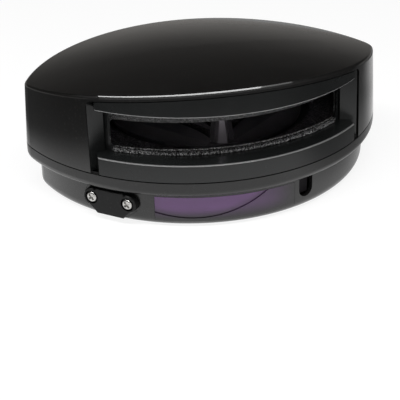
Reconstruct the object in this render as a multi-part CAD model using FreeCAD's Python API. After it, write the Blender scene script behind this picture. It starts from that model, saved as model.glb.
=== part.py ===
import FreeCAD, Part
import math
import os

Vec = FreeCAD.Vector
UP = Vec(0, 0, 1)
ALONG_X = Vec(1, 0, 0)
ALONG_Y = Vec(0, 1, 0)

# All lengths are in millimetres and all angles in degrees.
# +X runs along the housing, -Y is the side that scans, +Z is up, Z = 0 is the underside.

# How far posts are rooted in a floor and how far cutting tools run past a face
overlap = 1.0

# Plan outline of the housing: two long arcs joined by rounded tips
body_half_length = 98.9
body_half_width = 75.8
body_tip_radius = 18.7

# Base drum
drum_step_x = 6.7
drum_step_y = 3.4
drum_tip_step = 4.2
drum_height = 18.0
drum_wall = 2.5
drum_floor = 2.5
drum_foot_radius = 5.5
drum_inner_radius = 3.0

# Lower tray
tray_depth = 8.4
tray_wall = 2.6
tray_floor = 3.0
tray_edge_radius = 4.0
tray_inner_radius = 4.5
tray_opening_radius = 25.0
spigot_height = 2.0
spigot_thickness = 1.6
spigot_clearance = 0.25
spigot_front_limit = -8.0

# Shadow gap between tray and cover, closed by the housing seal
shadow_gap = 0.6
seal_inset = 1.1
seal_width = 1.2

# Top cover: heights of the crowned top at the front edge, the rear edge and the tips,
# and the inward lean of its walls for each millimetre of height
cover_front_height = 74.0
cover_rear_height = 60.5
cover_tip_height = 60.0
cover_wall = 2.5
cover_lean = 0.048
cover_rim_radius = 1.6
cover_lip = 1.25
cover_lip_half_width = 66.3
opening_corner_radius = 2.5

# Front bezel: sill and brow blocks, a flat jamb at each side, and the recess for the scanning window
bezel_half_width = 71.8
bezel_gap = 0.45
bezel_wall = 3.0
block_half_width = 68.4
block_end_wall = 2.4
jamb_depth = 2.5
jamb_wall = 2.2
sill_height = 36.0
brow_drop = 12.9
recess_half_width = 63.4
recess_depth = 12.5
frame_thickness = 2.0
frame_half_width = 60.8
frame_rim = 1.5
frame_corner_radius = 5.0
frame_slot_width = 1.7
frame_slot_depth = 1.4
liner_wall = 1.6
bezel_edge_radius = 0.7

# Scanning window and its gasket
gasket_thickness = 0.8
window_thickness = 2.5
window_half_width = 64.2
window_margin = 0.8
window_clearance = 0.15

# Optics chassis: a deck with a round well for the mirror wheel
chassis_inset = 4.4
deck_height = 37.0
deck_thickness = 2.5
well_window_gap = 0.4
well_wall = 2.0
well_floor_height = 31.0
well_floor_thickness = 2.5
deck_window_gap = 0.5
boss_clearance = 0.7

# Mirror wheel: four facets, each tilted by its own angle so that it scans its own plane
flange_gap = 4.8
corner_step = 1.2
corner_flat = 9.5
facet_thickness = 1.6
facet_tilts = (0.0, 1.5, 3.0, 4.5)
wheel_flange_thickness = 2.0
wheel_running_gap = 3.4
wheel_roof_gap = 2.2
wheel_wall = 4.0
wheel_roof = 3.0
wheel_hub_radius = 7.5
wheel_rib = 2.4
wheel_rest_angle = -5.0

# Motor
shaft_radius = 2.5
shaft_clearance = 0.03
shaft_end_gap = 0.4
bearing_radius = 6.5
bearing_width = 4.0
bearing_race = 1.1
motor_bottom = 10.6
motor_radius = 19.0
motor_wall = 1.6
motor_flange_radius = 23.0
motor_flange_thickness = 2.4
motor_screw_circle = 21.0
motor_screw_count = 3
stator_gap = 0.2
stator_yoke = 2.4
stator_teeth = 9
stator_shoe = 1.2
stator_tooth_width = 2.6
stator_slot_width = 0.9
stator_end_gap = 0.9
stator_height = 8.0
magnet_radius = 9.6
air_gap = 0.5

# Encoder
encoder_step = 2.0
encoder_thickness = 0.7
encoder_slots = 36
encoder_slot_width = 1.4
encoder_slot_length = 4.0
encoder_edge = 2.0
encoder_sensor_size = (6.0, 4.0, 0.9)
encoder_sensor_angle = 30.0

# Emitter and receiver, one at each tip of the deck, aimed at the mirror wheel
beam_height = 47.0
optics_offset_y = 12.0
holder_wheel_gap = 8.2
holder_tip_inset = 19.9
holder_half_width = 10.5
holder_top_margin = 2.2
emitter_radius = 6.0
emitter_overhang = 3.0
emitter_wall = 1.2
collimator_thickness = 2.4
receiver_radius = 8.0
receiver_lens_thickness = 4.0
lens_seat_depth = 1.0
sensor_board_side = 18.0
sensor_board_thickness = 1.4
photodiode_radius = 3.2
photodiode_length = 3.4

# Violet window in the drum wall, with a curved groove across its face
violet_left_angle = -27.0
violet_right_angle = 17.7
violet_bottom = 3.4
violet_top_rim = 1.0
violet_gap = 0.12
groove_centre_x = -24.6
groove_centre_z = 73.4
groove_radius = 67.7
groove_width = 1.0
groove_depth = 0.6

# Indicator board behind the violet window
indicator_half_length = 22.0
indicator_bottom = 4.5
indicator_top = 13.5
indicator_thickness = 1.4
indicator_setback = 8.8
indicator_rail = 2.4
indicator_rail_drop = 2.0
led_radius = 1.5
led_length = 2.2
led_pitch = 11.0
led_count = 3

# Connector cover on the drum wall
connector_angle = -41.05
connector_pad_depth = 1.5
connector_pad_thickness = 5.0
connector_pad_half_width = 18.5
cover_plate_half_width = 12.6
cover_plate_bottom = 3.2
cover_plate_top = 17.4
cover_plate_bevel = 5.0
cover_plate_thickness = 3.4
cover_plate_chamfer = 0.5
plate_lobe_radius = 4.9
plate_screw_spacing = 20.8
plate_screw_height = 12.0
plate_counterbore_radius = 3.7
plate_counterbore_depth = 1.7
plate_gasket_thickness = 0.6
plate_gasket_inset = 0.4
plate_recess_gap = 0.9
socket_half_width = 6.5
socket_bottom = 5.2
socket_top = 13.6
socket_length = 12.0
socket_wall = 1.0
socket_floor = 4.0
socket_clearance = 0.15
pin_count = 4
pin_rows = 2
pin_pitch = 2.6
pin_radius = 0.5
pin_length = 6.0

# Release notch in the drum wall with the tray's snap hook behind it
notch_angle = 22.1
notch_half_width = 4.5
notch_bottom = 6.6
hook_half_width = 3.4
hook_thickness = 1.8
hook_gap = 0.35
hook_bottom = 7.6

# Main circuit board
board_half_length = 42.0
board_wall_gap = 28.4
board_corner_radius = 4.0
board_height = 5.4
board_thickness = 1.6
board_screw_inset = 5.0
board_post_radius = 3.2
chip_height = 1.8
chip_places = ((0.0, 0.0), (-24.0, 14.0), (22.0, -16.0), (24.0, 18.0), (-20.0, -18.0))
chip_sides = (16.0, 9.0, 9.0, 7.0, 7.0)

# Screws, shared by all the fixings inside
screw_radius = 1.4
screw_head_radius = 2.8
screw_head_height = 2.0
screw_hole_gap = 0.3
screw_pilot_gap = 0.02
screw_post_radius = 4.0
screw_recess_width = 0.7
screw_recess_length = 3.2
screw_recess_depth = 1.0
screw_head_round = 0.8
screw_tip_gap = 0.5
cover_screw_tip_inset = 22.9
cover_screw_front_y = -13.0
cover_screw_rear_tip_inset = 58.9
cover_screw_rear_inset = 15.3
cover_screw_grip = 10.0
base_screw_tip_inset = 19.8
base_screw_rear_y = 16.0
base_screw_front_x = 24.0
base_screw_front_inset = 17.4
base_screw_grip = 4.5
base_post_roof = 1.5
base_head_sink = 0.4
chassis_screw_well_gap = 7.9
chassis_screw_front_y = -3.0
chassis_screw_rear_x = 18.0
chassis_screw_rear_inset = 11.7
chassis_screw_grip = 8.0
board_screw_grip = 2.6

# Threaded inserts in the underside, where the sensor is bolted on
mount_tip_inset = 32.2
mount_spacing_y = 30.0
insert_bore = 2.0
insert_radius = 3.0
insert_height = 6.5
insert_post_radius = 5.0
insert_roof = 1.0


def sagitta(radius, run):
    return radius - math.sqrt(radius ** 2 - run ** 2)


def radius_of(run, fall):
    """Radius of an arc that falls by so much over a run from its top."""
    return (run ** 2 + fall ** 2) / (2 * fall)


# Sizes that follow from the ones above
drum_half_length = body_half_length - drum_step_x
drum_half_width = body_half_width - drum_step_y
drum_tip_radius = body_tip_radius - drum_tip_step
gasket_depth = recess_depth + frame_thickness
window_depth = gasket_depth + gasket_thickness
window_back_depth = window_depth + window_thickness
well_radius = body_half_width - window_back_depth - well_window_gap
wheel_flange_radius = well_radius - flange_gap
wheel_corner_distance = wheel_flange_radius - corner_step
facet_distance = (wheel_corner_distance + corner_flat / 2) / math.sqrt(2)
encoder_radius = facet_distance - encoder_step
holder_start = wheel_flange_radius + holder_wheel_gap
holder_length = body_half_length - holder_tip_inset - holder_start
emitter_length = holder_length + emitter_overhang
chassis_screw_front_x = well_radius + well_wall + screw_post_radius + chassis_screw_well_gap
brow_height = cover_front_height - brow_drop
crown_radius = radius_of(2 * body_half_width, cover_front_height - cover_rear_height)
roof_behind_wheel = cover_front_height - sagitta(crown_radius, body_half_width + wheel_flange_radius)
wheel_top = roof_behind_wheel - cover_wall - wheel_roof_gap
mount_x = drum_half_length - mount_tip_inset
indicator_y = indicator_setback - drum_half_width
board_half_width = drum_half_width - board_wall_gap

# Heights that follow from the sizes above
tray_bottom = drum_height
tray_top = tray_bottom + tray_depth
cover_base = tray_top + shadow_gap
cover_middle = (cover_base + cover_tip_height) / 2
ceiling = 2 * cover_front_height
well_floor_bottom = well_floor_height - well_floor_thickness
deck_bottom = deck_height - deck_thickness
wheel_bottom = well_floor_height + wheel_running_gap
lower_seat = motor_bottom + motor_wall
upper_seat = well_floor_height - motor_wall - bearing_width
stator_bottom = lower_seat + bearing_width + stator_end_gap


def box(x0, x1, y0, y1, z0, z1):
    return Part.makeBox(x1 - x0, y1 - y0, z1 - z0, Vec(x0, y0, z0))


def post(point, radius, z0, z1):
    return Part.makeCylinder(radius, z1 - z0, Vec(point[0], point[1], z0))


def tube(point, outer, inner, z0, z1):
    return post(point, outer, z0, z1).cut(post(point, inner, z0, z1))


def prism(points, direction):
    """Solid swept from a closed polygon of 3D points."""
    return Part.Face(Part.makePolygon(points + points[:1])).extrude(direction)


def joined(shapes):
    shapes = list(shapes)
    if len(shapes) == 1:
        return shapes[0]
    return shapes[0].fuse(shapes[1:]).removeSplitter()


def turned(shape, angle):
    """Copy turned about the vertical axis."""
    copy = shape.copy()
    copy.rotate(Vec(0, 0, 0), UP, angle)
    return copy


def moved(shape, x, y, z):
    copy = shape.copy()
    copy.translate(Vec(x, y, z))
    return copy


def level_edges(shape, z):
    """Edges that lie wholly at one height."""
    return [e for e in shape.Edges if abs(e.BoundBox.ZMin - z) + abs(e.BoundBox.ZMax - z) < 1e-4]


class Almond:
    """Lens-shaped plan outline: a front and a rear arc joined by rounded tips.

    The sizes hold at the foot. With a lean, the outline draws in evenly above it.
    """

    def __init__(self, half_length, half_width, tip_radius, lean=0.0, foot=0.0):
        self.half_length = half_length
        self.half_width = half_width
        self.tip_radius = tip_radius
        self.lean = lean
        self.foot = foot
        self.tip_x = half_length - tip_radius
        square = self.tip_x ** 2 + half_width ** 2 - tip_radius ** 2
        self.radius = square / (2 * (half_width - tip_radius))
        self.centre_y = self.radius - half_width

    def inset(self, distance):
        return Almond(self.half_length - distance, self.half_width - distance, self.tip_radius - distance,
                      self.lean, self.foot)

    def at(self, z):
        return self.inset(self.lean * (z - self.foot))

    def front_y(self, x):
        return self.centre_y - math.sqrt(self.radius ** 2 - x ** 2)

    def outline(self, z):
        reach = self.radius / (self.radius - self.tip_radius)
        x = self.tip_x * reach
        y = self.centre_y - self.centre_y * reach
        joints = [Vec(-x, y, z), Vec(x, y, z), Vec(x, -y, z), Vec(-x, -y, z)]
        middles = [Vec(0, -self.half_width, z), Vec(self.half_length, 0, z),
                   Vec(0, self.half_width, z), Vec(-self.half_length, 0, z)]
        ends = joints[1:] + joints[:1]
        arcs = [Part.Arc(a, m, b).toShape() for a, m, b in zip(joints, middles, ends)]
        return Part.Wire(arcs)

    def prism(self, z0, z1):
        return Part.makeLoft([self.at(z0).outline(z0), self.at(z1).outline(z1)], True, True)

    def ring(self, width, z0, z1):
        return self.prism(z0, z1).cut(self.inset(width).prism(z0, z1))

    def crescent(self, near, far, z0, z1):
        """Slice along the front arc, from one depth behind it to another, measured along Y."""
        outer = moved(self.prism(z0, z1), 0, near, 0)
        return outer.cut(moved(self.prism(z0 - overlap, z1 + overlap), 0, far, 0))

    def on_front(self, shape, angle):
        """Place a shape drawn about the front arc's middle, -Y outward, at an angle along the arc."""
        placed = moved(shape, 0, -self.radius, 0)
        placed.rotate(Vec(0, 0, 0), UP, angle)
        return moved(placed, 0, self.centre_y, 0)


lower_body = Almond(body_half_length, body_half_width, body_tip_radius)
body = Almond(body_half_length, body_half_width, body_tip_radius, cover_lean, cover_base)
drum = Almond(drum_half_length, drum_half_width, drum_tip_radius)


def both_sides(x, y):
    return [(x, y), (-x, y)]


cover_screw_points = both_sides(body_half_length - cover_screw_tip_inset, cover_screw_front_y)
cover_screw_rear_x = body_half_length - cover_screw_rear_tip_inset
cover_screw_points += both_sides(cover_screw_rear_x,
                                 -body.front_y(cover_screw_rear_x) - cover_screw_rear_inset)
base_screw_points = both_sides(drum_half_length - base_screw_tip_inset, base_screw_rear_y)
base_screw_points += both_sides(base_screw_front_x, base_screw_front_inset - drum_half_width)
chassis_screw_points = both_sides(chassis_screw_front_x, chassis_screw_front_y)
chassis_screw_points += both_sides(chassis_screw_rear_x, body_half_width - chassis_screw_rear_inset)


def above_crown(drop):
    """Everything above the crowned top, lowered by a drop: an arc along X swept on an arc along Y."""
    mid_fall = sagitta(crown_radius, body_half_width)
    long_radius = radius_of(body_half_length, cover_front_height - mid_fall - cover_tip_height)
    span = body_half_length + body_tip_radius
    top = cover_front_height - drop
    edge = top - sagitta(long_radius, span)
    y = -body_half_width
    arc = Part.Arc(Vec(-span, y, edge), Vec(0, y, top), Vec(span, y, edge)).toShape()
    high = 2 * ceiling
    corners = [Vec(span, y, edge), Vec(span, y, high), Vec(-span, y, high), Vec(-span, y, edge)]
    face = Part.Face(Part.Wire([arc] + Part.makePolygon(corners).Edges))
    hinge = Vec(0, y, top - crown_radius)
    overrun = 2 * math.degrees(body_half_width / crown_radius)
    face.rotate(hinge, ALONG_X, overrun)
    return face.revolve(hinge, ALONG_X, -3 * overrun)


def screw(point, head_bottom, tip, head_up):
    """Pan-head screw along Z with a cross recess, head at its lower or upper end."""
    head_z = head_bottom if head_up else head_bottom - screw_head_height
    head = post(point, screw_head_radius, head_z, head_z + screw_head_height)
    crown = head_z + screw_head_height if head_up else head_z
    head = head.makeFillet(screw_head_round, level_edges(head, crown))
    z0 = crown - screw_recess_depth if head_up else crown
    half_length = screw_recess_length / 2
    half_width = screw_recess_width / 2
    slot = box(-half_length, half_length, -half_width, half_width, z0, z0 + screw_recess_depth)
    cross = moved(slot.fuse(turned(slot, 90)), point[0], point[1], 0)
    shank = post(point, screw_radius, min(head_bottom, tip), max(head_bottom, tip))
    return head.cut(cross).fuse(shank).removeSplitter()


def cover_boss(point):
    pilot = screw_radius + screw_pilot_gap
    boss = post(point, screw_post_radius, cover_base, ceiling).cut(above_crown(cover_wall / 2))
    return boss.cut(post(point, pilot, cover_base, cover_base + cover_screw_grip + screw_tip_gap))


def cover_block():
    """Solid block under the crowned top: a rounded rim, with a flat lip above the front opening."""
    block = body.prism(cover_base, ceiling).cut(above_crown(0))
    rim = [e for e in block.Edges if e.BoundBox.ZMin > cover_middle]
    half = cover_lip_half_width
    lip_zone = box(-half, half, -2 * body_half_width, 0, cover_base - overlap, ceiling)
    rounded = block.makeFillet(cover_rim_radius, rim).cut(lip_zone)
    lipped = block.makeChamfer(cover_lip, rim).common(lip_zone)
    return joined([rounded, lipped])


def bezel_space(gap, back):
    """Room for the bezel between the sides of the cover's opening and under its roof, back to some y."""
    half = bezel_half_width + gap
    room = box(-half, half, -2 * body_half_width, back, cover_base - gap, ceiling)
    room = room.cut(above_crown(cover_wall + bezel_gap - gap))
    corners = [e for e in room.Edges if e.BoundBox.ZMin > cover_middle and e.BoundBox.XLength < 0.01]
    return room.makeFillet(opening_corner_radius + gap, corners)


def make_top_cover():
    inner = body.inset(cover_wall).prism(cover_base - overlap, ceiling).cut(above_crown(cover_wall))
    top = body.at(cover_front_height)
    back = top.front_y(bezel_half_width + bezel_gap) + cover_wall + overlap
    shell = cover_block().cut(inner).cut(bezel_space(bezel_gap, back))
    return joined([shell] + [cover_boss(p) for p in cover_screw_points])


def rounded_slot(half_width, z0, z1, radius, y0, y1):
    """Rounded rectangle in the XZ plane, swept along Y."""
    block = box(-half_width, half_width, y0, y1, z0, z1)
    corners = [e for e in block.Edges if abs(e.BoundBox.YLength - (y1 - y0)) < 1e-6]
    return block.makeFillet(radius, corners)


def ahead_of_jambs(back, z0, z1):
    """Space in front of the flat jambs and between their returns to the window, pushed back by a distance."""
    outer_y = body.front_y(bezel_half_width) + jamb_depth
    inner_y = body.front_y(recess_half_width) + recess_depth
    slope = (outer_y - inner_y) / (bezel_half_width - recess_half_width)
    half = recess_half_width + back
    reach = bezel_half_width + overlap
    half_y = inner_y + slope * (half - recess_half_width) + back
    reach_y = inner_y + slope * (reach - recess_half_width) + back
    right = [(reach, -2 * body_half_width), (reach, reach_y), (half, half_y), (half, 0)]
    left = [(-x, y) for x, y in reversed(right)]
    start = cover_lean * (z0 - cover_base)
    rise = Vec(0, cover_lean * (z1 - z0), z1 - z0)
    return prism([Vec(x, y + start, z0) for x, y in right + left], rise)


def across(half, z0, z1):
    """Block that spans the front between two planes of constant x."""
    return box(-half, half, -2 * body_half_width, 0, z0, z1)


def on_front_arc(edge, z):
    return abs(edge.BoundBox.YMin + body.at(z).half_width) < 1e-4


def frame_opening():
    return rounded_slot(frame_half_width, sill_height + frame_rim, brow_height - frame_rim,
                        frame_corner_radius, -2 * body_half_width, 0)


def frame_slots():
    """Upright slots at the foot of the jambs, beside the lip of the window frame."""
    ring = body.crescent(recess_depth - overlap, recess_depth + frame_slot_depth, sill_height, brow_height)
    ring = ring.common(across(recess_half_width, sill_height, brow_height))
    return ring.cut(across(recess_half_width - frame_slot_width, sill_height, brow_height))


def make_front_bezel():
    low = sill_height - liner_wall
    high = brow_height + liner_wall
    blocks = across(block_half_width, cover_base, ceiling)
    open_space = ahead_of_jambs(0, cover_base, ceiling)
    wall = body.crescent(0, bezel_wall, cover_base, ceiling).common(blocks)
    ends = body.crescent(0, recess_depth, cover_base, ceiling).common(blocks)
    ends = ends.cut(across(block_half_width - block_end_wall, cover_base, ceiling))
    jambs = ahead_of_jambs(jamb_wall, cover_base, ceiling).cut(open_space)
    jambs = jambs.common(body.crescent(0, recess_depth, cover_base, ceiling))
    liner = ahead_of_jambs(liner_wall, low, high).common(blocks)
    liner = liner.common(body.crescent(0, gasket_depth, low, high))
    frame = body.crescent(recess_depth, window_back_depth, low, high)
    frame = frame.common(across(window_half_width + window_clearance + liner_wall, low, high))
    shape = joined([wall, ends, jambs, liner, frame]).common(bezel_space(0, 0))
    recess = open_space.common(body.crescent(-overlap, recess_depth, sill_height, brow_height))
    pocket = body.crescent(gasket_depth, window_back_depth + overlap,
                           sill_height - window_margin, brow_height + window_margin)
    pocket = pocket.common(across(window_half_width + window_clearance, cover_base, ceiling))
    shape = shape.cut([recess, open_space.cut(blocks), frame_opening(), pocket, frame_slots()])
    edges = [e for z in (sill_height, brow_height) for e in level_edges(shape, z) if on_front_arc(e, z)]
    return shape.makeFillet(bezel_edge_radius, edges)


def window_pane(near, far, half_width, margin):
    low = sill_height - margin
    high = brow_height + margin
    return body.crescent(near, far, low, high).common(across(half_width, low, high))


def make_window_gasket():
    margin = window_margin - window_clearance
    pane = window_pane(gasket_depth, window_depth, window_half_width, margin)
    return pane.cut(frame_opening())


def make_laser_window():
    return window_pane(window_depth, window_back_depth, window_half_width, window_margin - window_clearance)


def make_housing_seal():
    return lower_body.inset(seal_inset).ring(seal_width, tray_top, cover_base)


def drum_hook():
    """Snap hook that hangs from the tray behind the release notch."""
    y0 = drum_wall + hook_gap
    y1 = y0 + hook_thickness
    stem = box(-hook_half_width, hook_half_width, y0, y1, hook_bottom, tray_bottom + tray_floor / 2)
    return drum.on_front(stem, notch_angle)


def make_lower_tray():
    outer = lower_body.prism(tray_bottom, tray_top)
    outer = outer.makeFillet(tray_edge_radius, level_edges(outer, tray_bottom))
    floor_top = tray_bottom + tray_floor
    cavity = lower_body.inset(tray_wall).prism(floor_top, tray_top + tray_floor)
    cavity = cavity.makeFillet(tray_inner_radius, level_edges(cavity, floor_top))
    shell = outer.cut(cavity).cut(post((0, 0), tray_opening_radius, 0, ceiling))
    spigot = drum.inset(drum_wall + spigot_clearance)
    spigot = spigot.ring(spigot_thickness, tray_bottom - spigot_height, tray_bottom + tray_floor / 2)
    rear_part = box(-body_half_length, body_half_length, spigot_front_limit, body_half_width, 0, ceiling)
    spigot = spigot.common(rear_part)
    root = floor_top - overlap
    base_post_top = floor_top + base_screw_grip + base_post_roof
    cover_posts = [post(p, screw_post_radius, root, cover_base) for p in cover_screw_points]
    base_posts = [post(p, screw_post_radius, root, base_post_top) for p in base_screw_points]
    chassis_posts = [post(p, screw_post_radius, root, deck_bottom) for p in chassis_screw_points]
    shape = joined([shell, spigot, drum_hook()] + cover_posts + base_posts + chassis_posts)
    hole = screw_radius + screw_hole_gap
    pilot = screw_radius + screw_pilot_gap
    holes = [post(p, hole, 0, ceiling) for p in cover_screw_points]
    holes += [post(p, pilot, 0, floor_top + base_screw_grip + screw_tip_gap) for p in base_screw_points]
    chassis_pilot_end = deck_bottom - chassis_screw_grip - screw_tip_gap
    holes += [post(p, pilot, chassis_pilot_end, ceiling) for p in chassis_screw_points]
    return shape.cut(holes)


def violet_zone(gap):
    """Part of the drum wall that the violet window takes up, less a gap all round."""
    top = drum_height - violet_top_rim
    left = drum.radius * math.sin(math.radians(violet_left_angle))
    right = drum.radius * math.sin(math.radians(violet_right_angle))
    zone = box(left + gap, right - gap, -2 * drum_half_width, 0, violet_bottom + gap, top - gap)
    return zone.common(drum.ring(drum_wall + drum_inner_radius / 2, 0, drum_height))


def drum_shell():
    outer = drum.prism(0, drum_height)
    outer = outer.makeFillet(drum_foot_radius, level_edges(outer, 0))
    cavity = drum.inset(drum_wall).prism(drum_floor, drum_height + drum_floor)
    cavity = cavity.makeFillet(drum_inner_radius, level_edges(cavity, drum_floor))
    return outer.cut(cavity)


def plate_outline(grow, y0, y1):
    """Bevelled plate with a round lobe at each screw, in the frame of the drum wall."""
    half = cover_plate_half_width + grow
    low = cover_plate_bottom - grow
    high = cover_plate_top + grow
    bevel = cover_plate_bevel
    outline = [(-half + bevel, low), (half - bevel, low), (half, low + bevel), (half, high - bevel),
               (half - bevel, high), (-half + bevel, high), (-half, high - bevel), (-half, low + bevel)]
    plate = prism([Vec(x, y0, z) for x, z in outline], Vec(0, y1 - y0, 0))
    return joined([plate] + plate_rounds(plate_lobe_radius + grow, y0, y1))


def plate_rounds(radius, y0, y1):
    starts = [Vec(side * plate_screw_spacing / 2, y0, plate_screw_height) for side in (-1, 1)]
    return [Part.makeCylinder(radius, y1 - y0, start, ALONG_Y) for start in starts]


def socket_block(grow, y0, y1):
    half = socket_half_width + grow
    return box(-half, half, y0, y1, socket_bottom - grow, socket_top + grow)


def notch_cut():
    """U-shaped notch, open at the drum's top edge."""
    y0 = -drum_wall
    y1 = 2 * drum_wall
    low = notch_bottom + notch_half_width
    straight = box(-notch_half_width, notch_half_width, y0, y1, low, drum_height + overlap)
    round_end = Part.makeCylinder(notch_half_width, y1 - y0, Vec(0, y0, low), ALONG_Y)
    return drum.on_front(straight.fuse(round_end), notch_angle)


def mount_points():
    return [(sx * mount_x, sy * mount_spacing_y / 2) for sx in (-1, 1) for sy in (-1, 1)]


def board_points():
    x = board_half_length - board_screw_inset
    y = board_half_width - board_screw_inset
    return [(sx * x, sy * y) for sx in (-1, 1) for sy in (-1, 1)]


def indicator_rails():
    """Two slotted rails on the drum floor that hold the indicator board."""
    rails = []
    for side in (-1, 1):
        x = side * indicator_half_length
        y_mid = indicator_y + indicator_thickness / 2
        rail = box(x - indicator_rail, x + indicator_rail, y_mid - indicator_rail, y_mid + indicator_rail,
                   drum_floor - overlap, indicator_top - indicator_rail_drop)
        rails.append(rail)
    return rails


def indicator_plate(gap):
    half = indicator_half_length + gap
    return box(-half, half, indicator_y - gap, indicator_y + indicator_thickness + gap,
               indicator_bottom - gap, indicator_top + gap)


def make_base_drum():
    root = drum_floor - overlap
    pad_back = connector_pad_depth + connector_pad_thickness
    half = connector_pad_half_width
    pad = drum.on_front(box(-half, half, 0, pad_back, drum_floor, drum_height), connector_angle)
    pad = pad.common(drum.inset(drum_wall / 2).prism(0, drum_height))
    base_posts = [post(p, screw_post_radius, root, drum_height) for p in base_screw_points]
    inserts = [post(p, insert_post_radius, root, insert_height + insert_roof) for p in mount_points()]
    board_posts = [post(p, board_post_radius, root, board_height) for p in board_points()]
    shape = joined([drum_shell(), pad] + base_posts + inserts + board_posts + indicator_rails())
    seat = connector_pad_depth - plate_gasket_thickness - cover_plate_thickness
    recess = plate_outline(plate_recess_gap, seat - drum_wall, connector_pad_depth)
    opening = socket_block(socket_clearance, connector_pad_depth - overlap, pad_back + overlap)
    pilot = screw_radius + screw_pilot_gap
    pilots = plate_rounds(pilot, connector_pad_depth - overlap, pad_back + overlap)
    wall_cuts = [drum.on_front(s, connector_angle) for s in [recess, opening] + pilots]
    head_depth = screw_head_height + base_head_sink
    hole = screw_radius + screw_hole_gap
    board_pilot_end = board_height - board_screw_grip - screw_tip_gap
    floor_cuts = [post(p, hole, -overlap, drum_height + overlap) for p in base_screw_points]
    head_hole = screw_head_radius + screw_hole_gap
    floor_cuts += [post(p, head_hole, -overlap, head_depth) for p in base_screw_points]
    floor_cuts += [post(p, insert_radius, -overlap, insert_height) for p in mount_points()]
    floor_cuts += [post(p, pilot, board_pilot_end, board_height + overlap) for p in board_points()]
    return shape.cut(wall_cuts + floor_cuts + [violet_zone(0), notch_cut(), indicator_plate(violet_gap)])


def make_violet_window():
    window = drum_shell().common(violet_zone(violet_gap))
    ring_depth = drum_half_width
    centre = Vec(groove_centre_x, -drum_half_width - ring_depth / 2, groove_centre_z)
    ring = Part.makeCylinder(groove_radius + groove_width / 2, ring_depth, centre, ALONG_Y)
    ring = ring.cut(Part.makeCylinder(groove_radius - groove_width / 2, ring_depth, centre, ALONG_Y))
    skin = drum.ring(groove_depth, 0, drum_height)
    return window.cut(ring.common(skin))


def make_connector_cover():
    back = connector_pad_depth - plate_gasket_thickness
    front = back - cover_plate_thickness
    plate = plate_outline(0, front, back)
    edges = [e for e in plate.Edges if e.BoundBox.YMax < front + 1e-4]
    plate = plate.makeChamfer(cover_plate_chamfer, edges)
    bores = plate_rounds(plate_counterbore_radius, front - overlap, front + plate_counterbore_depth)
    bores += plate_rounds(screw_radius + screw_hole_gap, front - overlap, back + overlap)
    return drum.on_front(plate.cut(bores), connector_angle)


def make_connector_gasket():
    back = connector_pad_depth
    gasket = plate_outline(-plate_gasket_inset, back - plate_gasket_thickness, back)
    holes = plate_rounds(screw_radius + screw_hole_gap, -overlap, back + overlap)
    opening = socket_block(socket_clearance, -overlap, back + overlap)
    return drum.on_front(gasket.cut(holes + [opening]), connector_angle)


def make_connector_cover_screws():
    seat = connector_pad_depth - plate_gasket_thickness - cover_plate_thickness + plate_counterbore_depth
    tip = connector_pad_depth + connector_pad_thickness
    screws = []
    for side in (-1, 1):
        shape = screw((0, 0), 0, seat - tip, True)
        shape.rotate(Vec(0, 0, 0), ALONG_X, 90)
        shape = moved(shape, side * plate_screw_spacing / 2, seat, plate_screw_height)
        screws.append(drum.on_front(shape, connector_angle))
    return Part.makeCompound(screws)


def make_connector_socket():
    front = connector_pad_depth
    back = front + socket_length
    block = socket_block(0, front, back)
    hollow = socket_block(-socket_wall, front - overlap, back - socket_floor)
    return drum.on_front(block.cut([hollow] + connector_pin_shapes()), connector_angle)


def connector_pin_shapes():
    back = connector_pad_depth + socket_length
    middle = (socket_bottom + socket_top) / 2
    pins = []
    for row in range(pin_rows):
        for column in range(pin_count):
            x = (column - (pin_count - 1) / 2) * pin_pitch
            z = middle + (row - (pin_rows - 1) / 2) * pin_pitch
            pins.append(Part.makeCylinder(pin_radius, pin_length, Vec(x, back - pin_length, z), ALONG_Y))
    return pins


def make_connector_pins():
    return Part.makeCompound([drum.on_front(p, connector_angle) for p in connector_pin_shapes()])


def make_cover_screws():
    return Part.makeCompound([screw(p, tray_bottom, cover_base + cover_screw_grip, False)
                              for p in cover_screw_points])


def make_base_screws():
    seat = screw_head_height + base_head_sink
    tip = tray_bottom + tray_floor + base_screw_grip
    return Part.makeCompound([screw(p, seat, tip, False) for p in base_screw_points])


def make_chassis_screws():
    return Part.makeCompound([screw(p, deck_height, deck_bottom - chassis_screw_grip, True)
                              for p in chassis_screw_points])


def make_board_screws():
    seat = board_height + board_thickness
    return Part.makeCompound([screw(p, seat, board_height - board_screw_grip, True) for p in board_points()])


def make_mounting_inserts():
    return Part.makeCompound([tube(p, insert_radius, insert_bore, 0, insert_height) for p in mount_points()])


def make_main_board():
    block = box(-board_half_length, board_half_length, -board_half_width, board_half_width,
                board_height, board_height + board_thickness)
    corners = [e for e in block.Edges if abs(e.BoundBox.ZLength - board_thickness) < 1e-6]
    board = block.makeFillet(board_corner_radius, corners)
    return board.cut([post(p, screw_radius + screw_hole_gap, 0, ceiling) for p in board_points()])


def make_board_chips():
    z0 = board_height + board_thickness
    chips = []
    for (x, y), side in zip(chip_places, chip_sides):
        half = side / 2
        chips.append(box(x - half, x + half, y - half, y + half, z0, z0 + chip_height))
    return Part.makeCompound(chips)


def make_indicator_board():
    return indicator_plate(0)


def make_indicator_leds():
    z = (indicator_bottom + indicator_top) / 2
    lamps = []
    for i in range(led_count):
        x = (i - (led_count - 1) / 2) * led_pitch
        lamp = Part.makeCylinder(led_radius, led_length, Vec(x, indicator_y, z), -ALONG_Y)
        dome = Part.makeSphere(led_radius, Vec(x, indicator_y - led_length, z))
        lamps.append(joined([lamp, dome]))
    return Part.makeCompound(lamps)


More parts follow.
